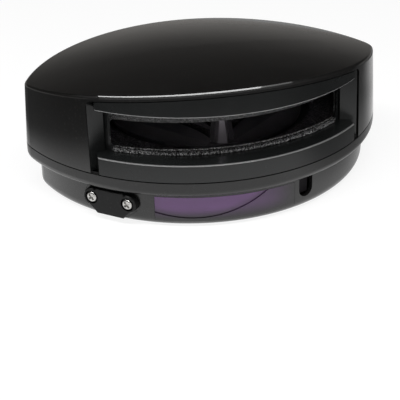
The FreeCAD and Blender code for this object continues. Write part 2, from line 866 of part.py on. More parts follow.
def make_optics_chassis():
    deck = body.inset(chassis_inset).prism(deck_bottom, deck_height)
    well = post((0, 0), well_radius + well_wall, well_floor_bottom, deck_height)
    shape = deck.fuse(well).removeSplitter()
    shape = shape.cut(post((0, 0), well_radius, well_floor_height, ceiling))
    liner_half = window_half_width + window_clearance + liner_wall + deck_window_gap
    low = sill_height - liner_wall - deck_window_gap
    bezel_zone = body.crescent(-overlap, window_back_depth + deck_window_gap, low, ceiling)
    bezel_zone = bezel_zone.common(across(liner_half, 0, ceiling))
    side_half = bezel_half_width + deck_window_gap
    side_zone = body.crescent(-overlap, recess_depth + deck_window_gap, cover_base, ceiling)
    side_zone = side_zone.common(across(side_half, 0, ceiling))
    holes = [post(p, screw_post_radius + boss_clearance, 0, ceiling) for p in cover_screw_points]
    holes += [post(p, screw_radius + screw_hole_gap, 0, ceiling) for p in chassis_screw_points]
    holes += [post(p, screw_radius + screw_hole_gap, 0, ceiling) for p in motor_screw_points()]
    holes.append(post((0, 0), bearing_radius + motor_wall + boss_clearance, 0, ceiling))
    return shape.cut([bezel_zone, side_zone] + holes)


def motor_screw_points():
    turns = [math.radians(90 + 360 * i / motor_screw_count) for i in range(motor_screw_count)]
    return [(motor_screw_circle * math.cos(t), motor_screw_circle * math.sin(t)) for t in turns]


def make_motor_screws():
    tip = well_floor_bottom - motor_flange_thickness
    return Part.makeCompound([screw(p, well_floor_height, tip, True) for p in motor_screw_points()])


def make_motor_housing():
    flange_bottom = well_floor_bottom - motor_flange_thickness
    can = post((0, 0), motor_radius, motor_bottom, well_floor_bottom)
    flange = post((0, 0), motor_flange_radius + screw_radius, flange_bottom, well_floor_bottom)
    nose = post((0, 0), bearing_radius + motor_wall, flange_bottom, well_floor_height)
    hollow = post((0, 0), motor_radius - motor_wall, lower_seat + bearing_width, flange_bottom)
    seats = [post((0, 0), bearing_radius, lower_seat, lower_seat + bearing_width),
             post((0, 0), bearing_radius, flange_bottom, upper_seat + bearing_width)]
    shaft_hole = post((0, 0), bearing_radius - motor_wall, upper_seat, ceiling)
    pilots = [post(p, screw_radius + screw_pilot_gap, 0, ceiling) for p in motor_screw_points()]
    return joined([can, flange, nose]).cut([hollow, shaft_hole] + seats + pilots)


def bearing(z0):
    """Deep-groove bearing drawn as its outer and inner rings with a shield between them."""
    bore = shaft_radius + shaft_clearance
    whole = tube((0, 0), bearing_radius, bore, z0, z0 + bearing_width)
    dish = tube((0, 0), bearing_radius - bearing_race, bore + bearing_race, z0, z0 + bearing_race / 2)
    return whole.cut([dish, moved(dish, 0, 0, bearing_width - bearing_race / 2)])


def make_lower_bearing():
    return bearing(lower_seat)


def make_upper_bearing():
    return bearing(upper_seat)


def make_motor_stator():
    outer = motor_radius - motor_wall - stator_gap
    bore = magnet_radius + air_gap
    top = stator_bottom + stator_height
    yoke = tube((0, 0), outer, outer - stator_yoke, stator_bottom, top)
    shoe = tube((0, 0), bore + stator_shoe, bore, stator_bottom, top)
    half = stator_tooth_width / 2
    half_slot = stator_slot_width / 2
    tooth = box(bore + stator_shoe / 2, outer - stator_yoke / 2, -half, half, stator_bottom, top)
    opening = box(0, bore + 2 * stator_shoe, -half_slot, half_slot, stator_bottom, top)
    pitch = 360 / stator_teeth
    teeth = [turned(tooth, i * pitch) for i in range(stator_teeth)]
    gaps = [turned(opening, (i + 0.5) * pitch) for i in range(stator_teeth)]
    return joined([yoke, shoe.cut(gaps)] + teeth)


def make_rotor_magnet():
    return tube((0, 0), magnet_radius, shaft_radius, stator_bottom, stator_bottom + stator_height)


def make_motor_shaft():
    return post((0, 0), shaft_radius, lower_seat + shaft_end_gap, wheel_top - wheel_roof)


def facet_plane(distance, tilt, turn):
    """Half space beyond one facet, tilted about the facet's lower edge."""
    reach = 2 * wheel_corner_distance
    block = box(0, reach, -reach, reach, -reach, reach)
    block.rotate(Vec(0, 0, 0), ALONG_Y, -tilt)
    return turned(moved(block, distance, 0, wheel_bottom + wheel_flange_thickness), turn)


def facet_turns():
    pitch = 360 / len(facet_tilts)
    return [pitch * (i + 0.5) + wheel_rest_angle for i in range(len(facet_tilts))]


def corner_turns():
    pitch = 360 / len(facet_tilts)
    return [pitch * i + wheel_rest_angle for i in range(len(facet_tilts))]


def wheel_block(distance, corner, z0, z1):
    """Four-sided block with tilted sides and cut-off corners."""
    block = post((0, 0), 2 * corner, z0, z1)
    cuts = [facet_plane(distance, tilt, turn) for tilt, turn in zip(facet_tilts, facet_turns())]
    cuts += [facet_plane(corner, 0, turn) for turn in corner_turns()]
    for cut in cuts:
        block = block.cut(cut)
    return block


def make_mirror_wheel():
    floor_top = wheel_bottom + wheel_flange_thickness
    solid = wheel_block(facet_distance - facet_thickness, wheel_corner_distance, floor_top, wheel_top)
    flange = post((0, 0), wheel_flange_radius, wheel_bottom, floor_top)
    solid = solid.fuse(flange)
    inner_top = wheel_top - wheel_roof
    cavity = wheel_block(facet_distance - facet_thickness - wheel_wall, wheel_corner_distance - wheel_wall,
                         wheel_bottom - overlap, inner_top)
    hub = post((0, 0), wheel_hub_radius, wheel_bottom, inner_top + overlap)
    half = wheel_rib / 2
    rib = box(0, wheel_corner_distance - wheel_wall / 2, -half, half, floor_top, inner_top + overlap)
    ribs = [turned(rib, turn) for turn in corner_turns()]
    return joined([solid.cut(cavity), hub] + ribs).cut(post((0, 0), shaft_radius, 0, inner_top))


def make_mirror_facets():
    floor_top = wheel_bottom + wheel_flange_thickness
    whole = wheel_block(facet_distance, wheel_corner_distance - facet_thickness, floor_top, wheel_top)
    core = wheel_block(facet_distance - facet_thickness, 2 * wheel_corner_distance, floor_top, wheel_top)
    skin = whole.cut(core)
    return Part.makeCompound(skin.Solids)


def make_encoder_disc():
    top = wheel_bottom
    bottom = top - encoder_thickness
    disc = tube((0, 0), encoder_radius, shaft_radius, bottom, top)
    outer = encoder_radius - encoder_edge
    half = encoder_slot_width / 2
    slot = box(outer - encoder_slot_length, outer, -half, half, bottom, top)
    return disc.cut([turned(slot, 360 * i / encoder_slots) for i in range(encoder_slots)])


def make_encoder_sensor():
    length, width, height = encoder_sensor_size
    x = encoder_radius - encoder_edge - encoder_slot_length / 2
    block = box(x - length / 2, x + length / 2, -width / 2, width / 2, well_floor_height,
                well_floor_height + height)
    return turned(block, encoder_sensor_angle)


def holder(radius):
    """Block on the deck with a bore along X for a lens tube, drawn on the +X side."""
    top = beam_height + radius + holder_top_margin
    x1 = holder_start + holder_length
    y0 = optics_offset_y - holder_half_width
    y1 = optics_offset_y + holder_half_width
    block = box(holder_start, x1, y0, y1, deck_height, top)
    upper = [e for e in block.Edges if e.BoundBox.ZMin > top - 1e-6 and e.BoundBox.XLength > 1]
    return block.makeFillet(holder_half_width / 2, upper)


def along_beam(radius, x0, x1):
    return Part.makeCylinder(radius, x1 - x0, Vec(x0, optics_offset_y, beam_height), ALONG_X)


def make_laser_holder():
    return holder(emitter_radius).cut(along_beam(emitter_radius, 0, body_half_length))


def make_laser_module():
    x1 = holder_start + emitter_length
    body_tube = along_beam(emitter_radius, holder_start, x1)
    bore = along_beam(emitter_radius - emitter_wall, holder_start, x1 - emitter_wall)
    seat = along_beam(emitter_radius - emitter_wall / 2, holder_start, holder_start + collimator_thickness)
    return body_tube.cut([bore, seat])


def lens(radius, thickness, x0):
    """Plano-convex lens facing the mirror wheel."""
    bulge = thickness - lens_seat_depth
    axis = Vec(x0, optics_offset_y, beam_height)
    half_way = radius / 2
    curve = radius_of(radius, bulge)
    rim = axis + Vec(bulge, 0, radius)
    back_rim = axis + Vec(thickness, 0, radius)
    back = axis + Vec(thickness, 0, 0)
    arc = Part.Arc(axis, axis + Vec(sagitta(curve, half_way), 0, half_way), rim).toShape()
    rest = Part.makePolygon([rim, back_rim, back, axis])
    return Part.Face(Part.Wire([arc] + rest.Edges)).revolve(axis, ALONG_X, 360)


def make_collimator_lens():
    return lens(emitter_radius - emitter_wall / 2, collimator_thickness, holder_start)


def to_left(shape):
    return shape.mirror(Vec(0, 0, 0), ALONG_X)


def make_receiver_holder():
    bore = along_beam(receiver_radius - lens_seat_depth, 0, body_half_length)
    seat = along_beam(receiver_radius, 0, holder_start + receiver_lens_thickness)
    return to_left(holder(receiver_radius).cut([bore, seat]))


def make_receiver_lens():
    return to_left(lens(receiver_radius, receiver_lens_thickness, holder_start))


def make_receiver_board():
    x0 = holder_start + holder_length
    half = sensor_board_side / 2
    return to_left(box(x0, x0 + sensor_board_thickness, optics_offset_y - half, optics_offset_y + half,
                       beam_height - half, beam_height + half))


def make_photodiode():
    x1 = holder_start + holder_length
    return to_left(along_beam(photodiode_radius, x1 - photodiode_length, x1))


PARTS = {
    "top_cover": make_top_cover,
    "front_bezel": make_front_bezel,
    "laser_window": make_laser_window,
    "window_gasket": make_window_gasket,
    "housing_seal": make_housing_seal,
    "lower_tray": make_lower_tray,
    "base_drum": make_base_drum,
    "violet_window": make_violet_window,
    "connector_cover": make_connector_cover,
    "connector_gasket": make_connector_gasket,
    "connector_cover_screws": make_connector_cover_screws,
    "connector_socket": make_connector_socket,
    "connector_pins": make_connector_pins,
    "cover_screws": make_cover_screws,
    "base_screws": make_base_screws,
    "mounting_inserts": make_mounting_inserts,
    "main_board": make_main_board,
    "board_chips": make_board_chips,
    "board_screws": make_board_screws,
    "indicator_board": make_indicator_board,
    "indicator_leds": make_indicator_leds,
    "optics_chassis": make_optics_chassis,
    "chassis_screws": make_chassis_screws,
    "motor_housing": make_motor_housing,
    "motor_screws": make_motor_screws,
    "motor_stator": make_motor_stator,
    "lower_bearing": make_lower_bearing,
    "upper_bearing": make_upper_bearing,
    "motor_shaft": make_motor_shaft,
    "rotor_magnet": make_rotor_magnet,
    "mirror_wheel": make_mirror_wheel,
    "mirror_facets": make_mirror_facets,
    "encoder_disc": make_encoder_disc,
    "encoder_sensor": make_encoder_sensor,
    "laser_holder": make_laser_holder,
    "laser_module": make_laser_module,
    "collimator_lens": make_collimator_lens,
    "receiver_holder": make_receiver_holder,
    "receiver_lens": make_receiver_lens,
    "receiver_board": make_receiver_board,
    "photodiode": make_photodiode,
}

os.makedirs("parts", exist_ok=True)
for name, make in PARTS.items():
    make().exportStep("parts/" + name + ".step")
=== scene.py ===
import math

import bmesh
import bpy
from bpy.props import FloatProperty, FloatVectorProperty, IntProperty, PointerProperty
from mathutils import Matrix, Vector


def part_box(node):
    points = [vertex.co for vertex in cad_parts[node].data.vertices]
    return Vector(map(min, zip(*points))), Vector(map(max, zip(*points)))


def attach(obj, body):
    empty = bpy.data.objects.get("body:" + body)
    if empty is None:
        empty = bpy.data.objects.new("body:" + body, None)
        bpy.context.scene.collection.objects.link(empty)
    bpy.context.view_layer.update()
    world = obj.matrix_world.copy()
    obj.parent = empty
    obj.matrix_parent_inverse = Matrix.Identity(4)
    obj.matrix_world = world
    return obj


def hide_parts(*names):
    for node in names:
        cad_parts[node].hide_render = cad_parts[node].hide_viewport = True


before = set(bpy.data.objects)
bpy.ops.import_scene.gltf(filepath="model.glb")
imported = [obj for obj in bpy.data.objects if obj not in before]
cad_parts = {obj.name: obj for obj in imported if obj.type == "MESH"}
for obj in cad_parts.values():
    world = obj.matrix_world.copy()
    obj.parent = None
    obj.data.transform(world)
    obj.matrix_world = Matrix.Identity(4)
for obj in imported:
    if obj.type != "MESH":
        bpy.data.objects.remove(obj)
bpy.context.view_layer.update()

bl_info = {
    "name": "Laser presence sensor",
    "version": (1, 0, 0),
    "blender": (4, 5, 0),
    "location": "View3D > Sidebar > Sensor",
    "description": "Finishes, fixings and studio for a wide-area laser presence sensor",
    "category": "Object",
}

# All lengths are in metres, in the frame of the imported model.
# +X runs along the housing, -Y is the scanning side and +Z is up.
HOUSING = "housing"
ROTOR = "mirror_rotor"
UP = Vector((0, 0, 1))
DOWN = Vector((0, 0, -1))

# Front wall of the housing: an arc whose radius shrinks as the wall leans in above its foot
FRONT_ARC_CENTRE = Vector((0.0, 0.02777, 0.0))
FRONT_ARC_RADIUS = 0.10357
WALL_LEAN = 0.048
WALL_FOOT = 0.0264

# Edges that have a finish of their own, and how far each finish reaches; the brow's and the sill's edges
# carry painted highlights
SILL_HEIGHT = 0.0360
BROW_HEIGHT = 0.0611
PAINTED_HIGHLIGHT_WIDTH = 0.0006
LIP_HEIGHT = 0.0733
LIP_WIDTH = 0.00125
LIP_REACH = 0.007
TRAY_FOOT = 0.0180

# Stippled lower rim of the window frame: its depth behind the front wall, how far ahead of that its finish
# starts, its half length, and the height of its band above the sill with the band's reach
RECESS_DEPTH = 0.0125
RIM_MARGIN = 0.0014
FRAME_HALF_WIDTH = 0.0608
RIM_RISE = 0.0014
RIM_BAND = 0.0013

# Stipple on the deck and on the window's border: where the deck's is strongest, and how far each one reaches
DECK_HEIGHT = 0.037
DECK_BAND = 0.004
BORDER_BAND = 0.008

# Groove of the violet filter, and the stretch of the filter that carries the painted violet sheen
GROOVE_CENTRE = Vector((-0.0246, 0.0, 0.0734))
GROOVE_RADIUS = 0.0677
SHEEN_CENTRE = Vector((-0.014, 0.0, 0.0))
SHEEN_REACH = 0.044

# Reach of a mask along an axis that doesn't limit it
UNLIMITED = 10.0

# Faces that meet at more than this angle keep a sharp edge
SHARP_ANGLE = math.radians(35)

# Vertices closer than this are welded
WELD_DISTANCE = 1e-6

# A face of a facet is broad where the cosine of its angle to the way out is above this
BROAD_FACE = 0.9

# Sides of a turned screw
SCREW_SIDES = 40

# Colours of the dust on plastics and of the clear lamps
DUST = (0.12, 0.118, 0.115)
LAMP_RESIN = (0.75, 0.76, 0.78)

# Strip lamps: the corners of their arc overhead and the share of the glow that each one has
STRIP_CORNERS = ((-0.80, 0.12), (-0.44, -0.185), (-0.05, -0.333), (0.36, -0.316), (0.66, -0.225))
STRIP_SHARES = (1.0, 1.0, 1.0, 0.15)
FILL_ENDS = (Vector((-0.35, -0.85, 0.26)), Vector((0.35, -0.85, 0.26)))
FILL_WIDTH = 0.3
FILL_AIM = Vector((0.0, 0.0, 0.04))

# Patches of the floor as reflections see it, painted light and painted shade: centre, reach, and the share
# of the reach that is even
FLOOR_POOL = (Vector((0.0, -0.045, 0.0)), 0.205, 0.57)
FLOOR_REAR = (Vector((0.16, 0.12, 0.0)), 0.12, 0.3)
# Painted shade in the floor's glow to the front right
FLOOR_PAINTED_SHADE = (Vector((0.16, -0.06, 0.0)), 0.11, 0.4)
FLOOR_NEAR = (Vector((0.0, 0.0, 0.0)), 1.2, 0.4)
PAINTED_SHADE_DEPTH = 0.78
REAR_GLOW = 0.5
NEAR_GLOW = 0.07
FAR_GLOW = 0.40

# Floor as the camera and as soft light see it
SHADOW_GREY = 0.22
CAMERA_GLOW = 0.86
PAPER_GREY = 0.75

# Studio air: brightness by height, its warmth, and how it dims from the left to the right
AIR_LEVELS = ((0.0, 0.40), (0.03, 0.32), (0.09, 0.21), (0.15, 0.10),
              (0.20, 0.045), (0.28, 0.020), (0.40, 0.015))
AIR_WARMTH = (1.04, 1.0, 0.95)
AIR_LEFT = 1.08
AIR_RIGHT = 0.55
AIR_RIGHT_EDGE = 0.45


# Properties

def colour_property(name, description, value):
    return FloatVectorProperty(name=name, description=description, default=value, min=0, max=1,
                               size=3, subtype="COLOR")


def length_property(name, description, value):
    return FloatProperty(name=name, description=description, default=value, min=0, unit="LENGTH")


def angle_property(name, description, degrees):
    return FloatProperty(name=name, description=description, default=math.radians(degrees), subtype="ANGLE")


def number_property(name, description, value):
    return FloatProperty(name=name, description=description, default=value)


class SensorFinishes(bpy.types.PropertyGroup):
    """Colours of the sensor's finishes."""
    cover: colour_property("Cover", "Polished black of the upper shell", (0.0050, 0.0048, 0.0046))
    bezel: colour_property("Bezel", "Satin black of the brow, sill and jambs", (0.0085, 0.0094, 0.0094))
    tray: colour_property("Tray", "Satin black of the lower half of the housing", (0.0100, 0.0100, 0.0100))
    # The snap hook's colour is painted shade of the drum's notch, tinted dark violet
    hook: colour_property("Snap hook", "Dull dark violet of the tray's snap hook", (0.0040, 0.0020, 0.0045))
    drum: colour_property("Drum", "Semi-gloss black of the base", (0.0120, 0.0118, 0.0118))
    plate: colour_property("Connector cover", "Satin black of the connector cover", (0.0070, 0.0070, 0.0072))
    violet: colour_property("Violet filter", "Near black of the ends and foot", (0.012, 0.011, 0.012))
    # Painted violet sheen over the filter's near-black tint, brightest above its groove
    violet_painted_sheen: colour_property("Violet glow", "Violet above the filter's groove", (0.170, 0.075, 0.225))
    window: colour_property("Window", "Smoke tint of the scanning window", (0.78, 0.75, 0.78))
    rubber: colour_property("Rubber", "Black of the seals", (0.012, 0.012, 0.012))
    steel: colour_property("Steel", "Zinc-plated steel of the screws", (0.62, 0.61, 0.59))
    brass: colour_property("Brass", "Turned brass of the inserts and pins", (0.70, 0.50, 0.22))
    aluminium: colour_property("Aluminium", "Turned aluminium of the motor", (0.60, 0.61, 0.62))
    iron: colour_property("Iron", "Laminated iron of the stator", (0.10, 0.10, 0.105))
    chassis: colour_property("Chassis", "Matt black of the optics chassis", (0.016, 0.016, 0.016))
    # The next two colours are painted highlights along the brow's and the sill's front edges
    brow_painted_highlight: colour_property("Rubbed brow", "Brow's edge, rubbed bright by handling", (0.75, 0.75, 0.75))
    sill_painted_highlight: colour_property("Rubbed sill", "Sill's edge, rubbed bright by handling", (0.20, 0.20, 0.20))
    stipple: colour_property("Stipple", "Light specks of the window's border and rim", (0.75, 0.75, 0.76))
    deck_speck: colour_property("Deck specks", "Light specks of the inner deck", (0.25, 0.25, 0.25))
    socket: colour_property("Socket", "Black of the socket and chips", (0.013, 0.013, 0.013))
    board: colour_property("Board", "Green lacquer of the circuit boards", (0.010, 0.090, 0.040))
    wheel: colour_property("Wheel", "Grey anodised wheel of the mirror", (0.34, 0.34, 0.345))
    mirror: colour_property("Mirror", "First-surface mirror", (0.86, 0.86, 0.87))
    lens: colour_property("Lens", "Clear lens", (0.90, 0.93, 0.95))


class SensorFixings(bpy.types.PropertyGroup):
    """Sizes of the screws and inserts."""
    head_radius: length_property("Head radius", "Radius of a pan head", 0.0028)
    head_height: length_property("Head height", "Height of a pan head", 0.0020)
    head_round: length_property("Head rounding", "Rounding of a pan head's rim", 0.0009)
    shank_radius: length_property("Shank radius", "Radius over a screw's thread", 0.0014)
    thread_pitch: length_property("Thread pitch", "Distance between thread ridges", 0.0007)
    recess_length: length_property("Recess length", "Length of each bar of the cross recess", 0.0041)
    recess_width: length_property("Recess width", "Width of each bar of the cross recess", 0.0011)
    recess_depth: length_property("Recess depth", "Depth of the cross recess", 0.0014)
    knurls: IntProperty(name="Knurls", description="Ridges round a threaded insert", default=24, min=6)


class SensorBorder(bpy.types.PropertyGroup):
    """Sizes of the stippled border of the scanning window."""
    half_width: length_property("Half width", "Half of the border's length", 0.06075)
    low: length_property("Low edge", "Height of the border's lower edge", 0.03755)
    high: length_property("High edge", "Height of the border's upper edge", 0.05955)
    corner_radius: length_property("Corner radius", "Radius of the border's corners", 0.0049)
    foot: length_property("Foot", "Height of the border's lower band", 0.0008)
    head: length_property("Head", "Height of the border's upper band", 0.0070)
    inner_radius: length_property("Inner radius", "Radius of the border's inner corners", 0.0020)
    side: length_property("Side", "Width of the border at its ends", 0.0008)
    thickness: length_property("Thickness", "Thickness of the border", 0.0001)
    lift: length_property("Lift", "Gap that keeps the border's back clear of the pane", 0.00002)


class SensorStage(bpy.types.PropertyGroup):
    """Camera, lamps and floor."""
    distance: length_property("Distance", "Camera distance", 0.6)
    azimuth: angle_property("Azimuth", "Camera turn from the front", -14.627)
    elevation: angle_property("Elevation", "Camera height angle", 23.315)
    roll: angle_property("Roll", "Camera roll", -1.145)
    lens: FloatProperty(name="Lens", description="Focal length", default=97.69, unit="CAMERA")
    shift_x: number_property("Shift X", "Sideways shift of the frame", -0.01187)
    shift_y: number_property("Shift Y", "Upward shift of the frame", -0.2480)
    aim_height: length_property("Aim height", "Height that the camera looks at", 0.038)
    floor_size: length_property("Floor size", "Side of the floor", 12.0)
    strip_glow: number_property("Strip glow", "Brightness of the overhead strip lamps", 13.0)
    strip_width: length_property("Strip width", "Width of the strip lamps", 0.15)
    strip_height: length_property("Strip height", "Height of the strip lamps above the floor", 0.8)
    fill_glow: number_property("Fill glow", "Brightness of the fill lamp in front", 1.8)


# Meshes

def link(name, mesh):
    piece = bpy.data.objects.new(name, mesh)
    bpy.context.scene.collection.objects.link(piece)
    return piece


def mesh_from(bm, name):
    bmesh.ops.recalc_face_normals(bm, faces=bm.faces)
    mesh = bpy.data.meshes.new(name)
    bm.to_mesh(mesh)
    bm.free()
    return mesh


def bridge(bm, first, second):
    """Faces between two loops with the same number of vertices."""
    count = len(first)
    for i in range(count):
        j = (i + 1) % count
        bm.faces.new((first[i], first[j], second[j], second[i]))


def lathe(bm, profile, segments, ridge=0.0):
    """Turn (radius, z) points about Z; a ridge makes every other column stand back by that much."""
    rings = []
    for radius, z in profile:
        if radius == 0:
            rings.append([bm.verts.new((0, 0, z))])
            continue
        ring = []
        for i in range(segments):
            turn = 2 * math.pi * i / segments
            r = radius - ridge * (i % 2)
            ring.append(bm.verts.new((r * math.cos(turn), r * math.sin(turn), z)))
        rings.append(ring)
    for low, high in zip(rings, rings[1:]):
        for i in range(segments):
            j = (i + 1) % segments
            corners = [low[i % len(low)], low[j % len(low)], high[j % len(high)], high[i % len(high)]]
            unique = list(dict.fromkeys(corners))
            if len(unique) > 2:
                bm.faces.new(unique)


def cross_cutter(fixings):
    """Tapered cross that sinks the driver recess, drawn from below the head's crown to above it."""
    half_width = fixings.recess_width / 2
    floor = (fixings.head_height - fixings.recess_depth, 0.5)
    mouth = (2 * fixings.head_height, 1.5)
    bm = bmesh.new()
    loops = []
    for z, taper in (floor, mouth):
        reach = fixings.recess_length / 2 * taper
        corner = [(reach, -half_width), (reach, half_width), (half_width, half_width)]
        loop = []
        for quarter in range(4):
            turn = Matrix.Rotation(quarter * math.pi / 2, 3, "Z")
            loop += [bm.verts.new(turn @ Vector((x, y, z))) for x, y in corner]
        loops.append(loop)
    bridge(bm, *loops)
    for loop in loops:
        bm.faces.new(loop)
    return mesh_from(bm, "cross_cutter")


def screw_pattern(fixings, length):
    """Pan-head screw along Z, seated at Z = 0 with its head up and its thread down."""
    radius = fixings.head_radius
    height = fixings.head_height
    rounding = fixings.head_round
    steps = 6
    profile = [(0, height)]
    for i in range(steps + 1):
        turn = math.pi / 2 * i / steps
        profile.append((radius - rounding + rounding * math.sin(turn),
                        height - rounding + rounding * math.cos(turn)))
    profile += [(radius, 0), (fixings.shank_radius, 0)]
    root = fixings.shank_radius - fixings.thread_pitch / 3
    ridges = int(length / fixings.thread_pitch) - 1
    for i in range(ridges):
        z = -fixings.thread_pitch * (i + 0.5)
        profile += [(root, z), (fixings.shank_radius, z - fixings.thread_pitch / 2)]
    profile += [(root, -length), (0, -length)]
    bm = bmesh.new()
    lathe(bm, profile, SCREW_SIDES)
    screw = link("screw_pattern", mesh_from(bm, "screw_pattern"))
    cutter = link("screw_cutter", cross_cutter(fixings))
    cut = screw.modifiers.new("recess", "BOOLEAN")
    cut.operation = "DIFFERENCE"
    cut.object = cutter
    plain = plain_mesh(screw, "screw_pattern")
    drop(screw)
    drop(cutter)
    return link("screw_pattern", plain)


def insert_pattern(fixings, radius, bore, height):
    """Knurled brass insert along Z with a ridged bore, open at Z = 0."""
    lip = height / 10
    pitch = fixings.thread_pitch
    count = 2 * fixings.knurls
    shoulder = radius - lip / 2
    shell = [(bore, 0), (shoulder, 0), (radius, lip),
             (radius, height - lip), (shoulder, height), (bore, height)]
    thread = [(bore, height)]
    for i in range(int(height / pitch) - 1):
        z = height - pitch * (i + 0.5)
        thread += [(bore + pitch / 3, z), (bore, z - pitch / 2)]
    thread.append((bore, 0))
    bm = bmesh.new()
    lathe(bm, shell, count, ridge=lip / 2)
    lathe(bm, thread, count)
    bmesh.ops.remove_doubles(bm, verts=bm.verts, dist=WELD_DISTANCE)
    return link("insert_pattern", mesh_from(bm, "insert_pattern"))


def plain_mesh(piece, name):
    """Result of a piece's modifiers as a mesh of its own."""
    evaluated = piece.evaluated_get(bpy.context.evaluated_depsgraph_get())
    mesh = bpy.data.meshes.new_from_object(evaluated)
    mesh.name = name
    return mesh


def drop(piece):
    mesh = piece.data
    bpy.data.objects.remove(piece)
    if mesh.users == 0:
        bpy.data.meshes.remove(mesh)


def islands(node):
    """Vertex places of each separate solid of a CAD node."""
    bm = bmesh.new()
    bm.from_mesh(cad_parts[node].data)
    bmesh.ops.remove_doubles(bm, verts=bm.verts, dist=WELD_DISTANCE)
    left = set(bm.verts)
    found = []
    while left:
        stack = [left.pop()]
        solid = []
        while stack:
            vert = stack.pop()
            solid.append(vert.co.copy())
            for edge in vert.link_edges:
                other = edge.other_vert(vert)
                if other in left:
                    left.remove(other)
                    stack.append(other)
        found.append(solid)
    bm.free()
    return sorted(found, key=lambda s: (round(s[0].x, 3), round(s[0].y, 3)))


def middle(points):
    low = Vector(min(p[i] for p in points) for i in range(3))
    high = Vector(max(p[i] for p in points) for i in range(3))
    return (low + high) / 2


def screw_seats(node, axis, fixings):
    """Seat of each screw of a node under its head, and the length of its thread."""
    seats = []
    length = 0.0
    for solid in islands(node):
        along = [p.dot(axis) for p in solid]
        head = max(along) - fixings.head_height
        length = head - min(along)
        centre = middle([p for p in solid if p.dot(axis) > head])
        seats.append(centre + axis * (head - centre.dot(axis)))
    return seats, length


def edged_facets(coat, edge):
    """Copy of the mirror facets with the coat on their broad faces and a dull ground edge elsewhere."""
    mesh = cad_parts["mirror_facets"].data.copy()
    mesh.materials.clear()
    mesh.materials.append(coat)
    mesh.materials.append(edge)
    outward = [Vector((*middle(solid).xy, 0)).normalized() for solid in islands("mirror_facets")]
    for face in mesh.polygons:
        broad = max(face.normal.dot(way) for way in outward) > BROAD_FACE
        face.material_index = 0 if broad else 1
    return link("edged_facets", mesh)


def front_radius(z):
    """Radius of the leaning front wall at a height."""
    return FRONT_ARC_RADIUS - WALL_LEAN * (z - WALL_FOOT)


def rounded_loop(half, low, high, radius, along=60, turn=6):
    """Points (x, z) round a rounded rectangle, with long sides divided so that they can follow an arc."""
    corners = ((half - radius, high - radius), (radius - half, high - radius),
               (radius - half, low + radius), (half - radius, low + radius))
    points = []
    for quarter, (x, z) in enumerate(corners):
        for i in range(turn + 1):
            angle = math.pi / 2 * (quarter + i / turn)
            points.append((x + radius * math.cos(angle), z + radius * math.sin(angle)))
        if quarter % 2 == 0:
            next_x = corners[quarter + 1][0]
            level = points[-1][1]
            points += [(x + (next_x - x) * i / along, level) for i in range(1, along)]
    return points


def window_border(border):
    """Stippled border on the outer face of the scanning window, a thin ring that follows the pane."""
    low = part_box("laser_window")[0]
    outer = rounded_loop(border.half_width, border.low, border.high, border.corner_radius)
    inner = rounded_loop(border.half_width - border.side, border.low + border.foot,
                         border.high - border.head, border.inner_radius)
    back, face = border.lift, border.thickness
    bm = bmesh.new()
    rings = []
    for loop, lift in ((outer, back), (outer, face), (inner, face), (inner, back)):
        ring = []
        for x, z in loop:
            y = low.y + front_radius(low.z) - math.sqrt(front_radius(z) ** 2 - x ** 2) - lift
            ring.append(bm.verts.new((x, y, z)))
        rings.append(ring)
    for ring, following in zip(rings, rings[1:] + rings[:1]):
        bridge(bm, ring, following)
    mesh = mesh_from(bm, "window_border")
    mesh.shade_smooth()
    mesh.set_sharp_from_angle(angle=SHARP_ANGLE)
    return link("window_border", mesh)


# Node trees

class Net:
    """A node tree in the making, with short ways to add and join its nodes."""

    def __init__(self, tree):
        self.nodes = tree.nodes
        self.links = tree.links

    def feed(self, socket, value):
        """Join a socket to an input, or set the input to a plain value."""
        if isinstance(value, bpy.types.NodeSocket):
            self.links.new(value, socket)
        else:
            socket.default_value = value

    def add(self, kind, values=None, **settings):
        """New node with its settings, and what its inputs, by name or number, are fed with."""
        node = self.nodes.new(kind)
        for label, setting in settings.items():
            setattr(node, label, setting)
        for label, value in (values or {}).items():
            self.feed(node.inputs[label], value)
        return node

    def math(self, operation, *terms):
        return self.add("ShaderNodeMath", dict(enumerate(terms)), operation=operation).outputs[0]

    def vector_math(self, operation, *terms):
        return self.add("ShaderNodeVectorMath", dict(enumerate(terms)), operation=operation).outputs

    def scaled(self, vector, scale):
        values = {0: vector, "Scale": scale}
        return self.add("ShaderNodeVectorMath", values, operation="SCALE").outputs["Vector"]

    def weighted(self, value, weight, plus):
        """value * weight + plus."""
        return self.math("MULTIPLY_ADD", value, weight, plus)

    def product(self, first, *others):
        for other in others:
            first = self.math("MULTIPLY", first, other)
        return first

    def inverse(self, mask):
        return self.weighted(mask, -1.0, 1.0)

    def spread(self, value, middle_value, amount):
        """middle_value + (value - 0.5) * amount."""
        return self.weighted(self.math("SUBTRACT", value, 0.5), amount, middle_value)

    def noise(self, vector, scale, detail, roughness=0.5):
        values = {"Vector": vector, "Scale": scale, "Detail": detail, "Roughness": roughness}
        return self.add("ShaderNodeTexNoise", values).outputs["Fac"]

    def mapped(self, value, from_min=0.0, from_max=1.0, to_min=0.0, to_max=1.0, kind="LINEAR"):
        values = {"Value": value, "From Min": from_min, "From Max": from_max,
                  "To Min": to_min, "To Max": to_max}
        return self.add("ShaderNodeMapRange", values, interpolation_type=kind).outputs["Result"]

    def mixed(self, mask, first, second, kind="RGBA"):
        values = {"Factor": mask, "A": first, "B": second}
        return self.add("ShaderNodeMix", values, data_type=kind).outputs["Result"]

    def mixed_shader(self, mask, first, second):
        return self.add("ShaderNodeMixShader", {"Fac": mask, 1: first, 2: second}).outputs["Shader"]


def add_sockets(tree, inputs, outputs):
    """Sockets of a group by name; an input is a socket kind, or a number that is its default."""
    for label, given in inputs.items():
        kind = given if isinstance(given, str) else "Float"
        socket = tree.interface.new_socket(label, in_out="INPUT", socket_type="NodeSocket" + kind)
        if not isinstance(given, str):
            socket.default_value = given
    for label, kind in outputs.items():
        tree.interface.new_socket(label, in_out="OUTPUT", socket_type="NodeSocket" + kind)


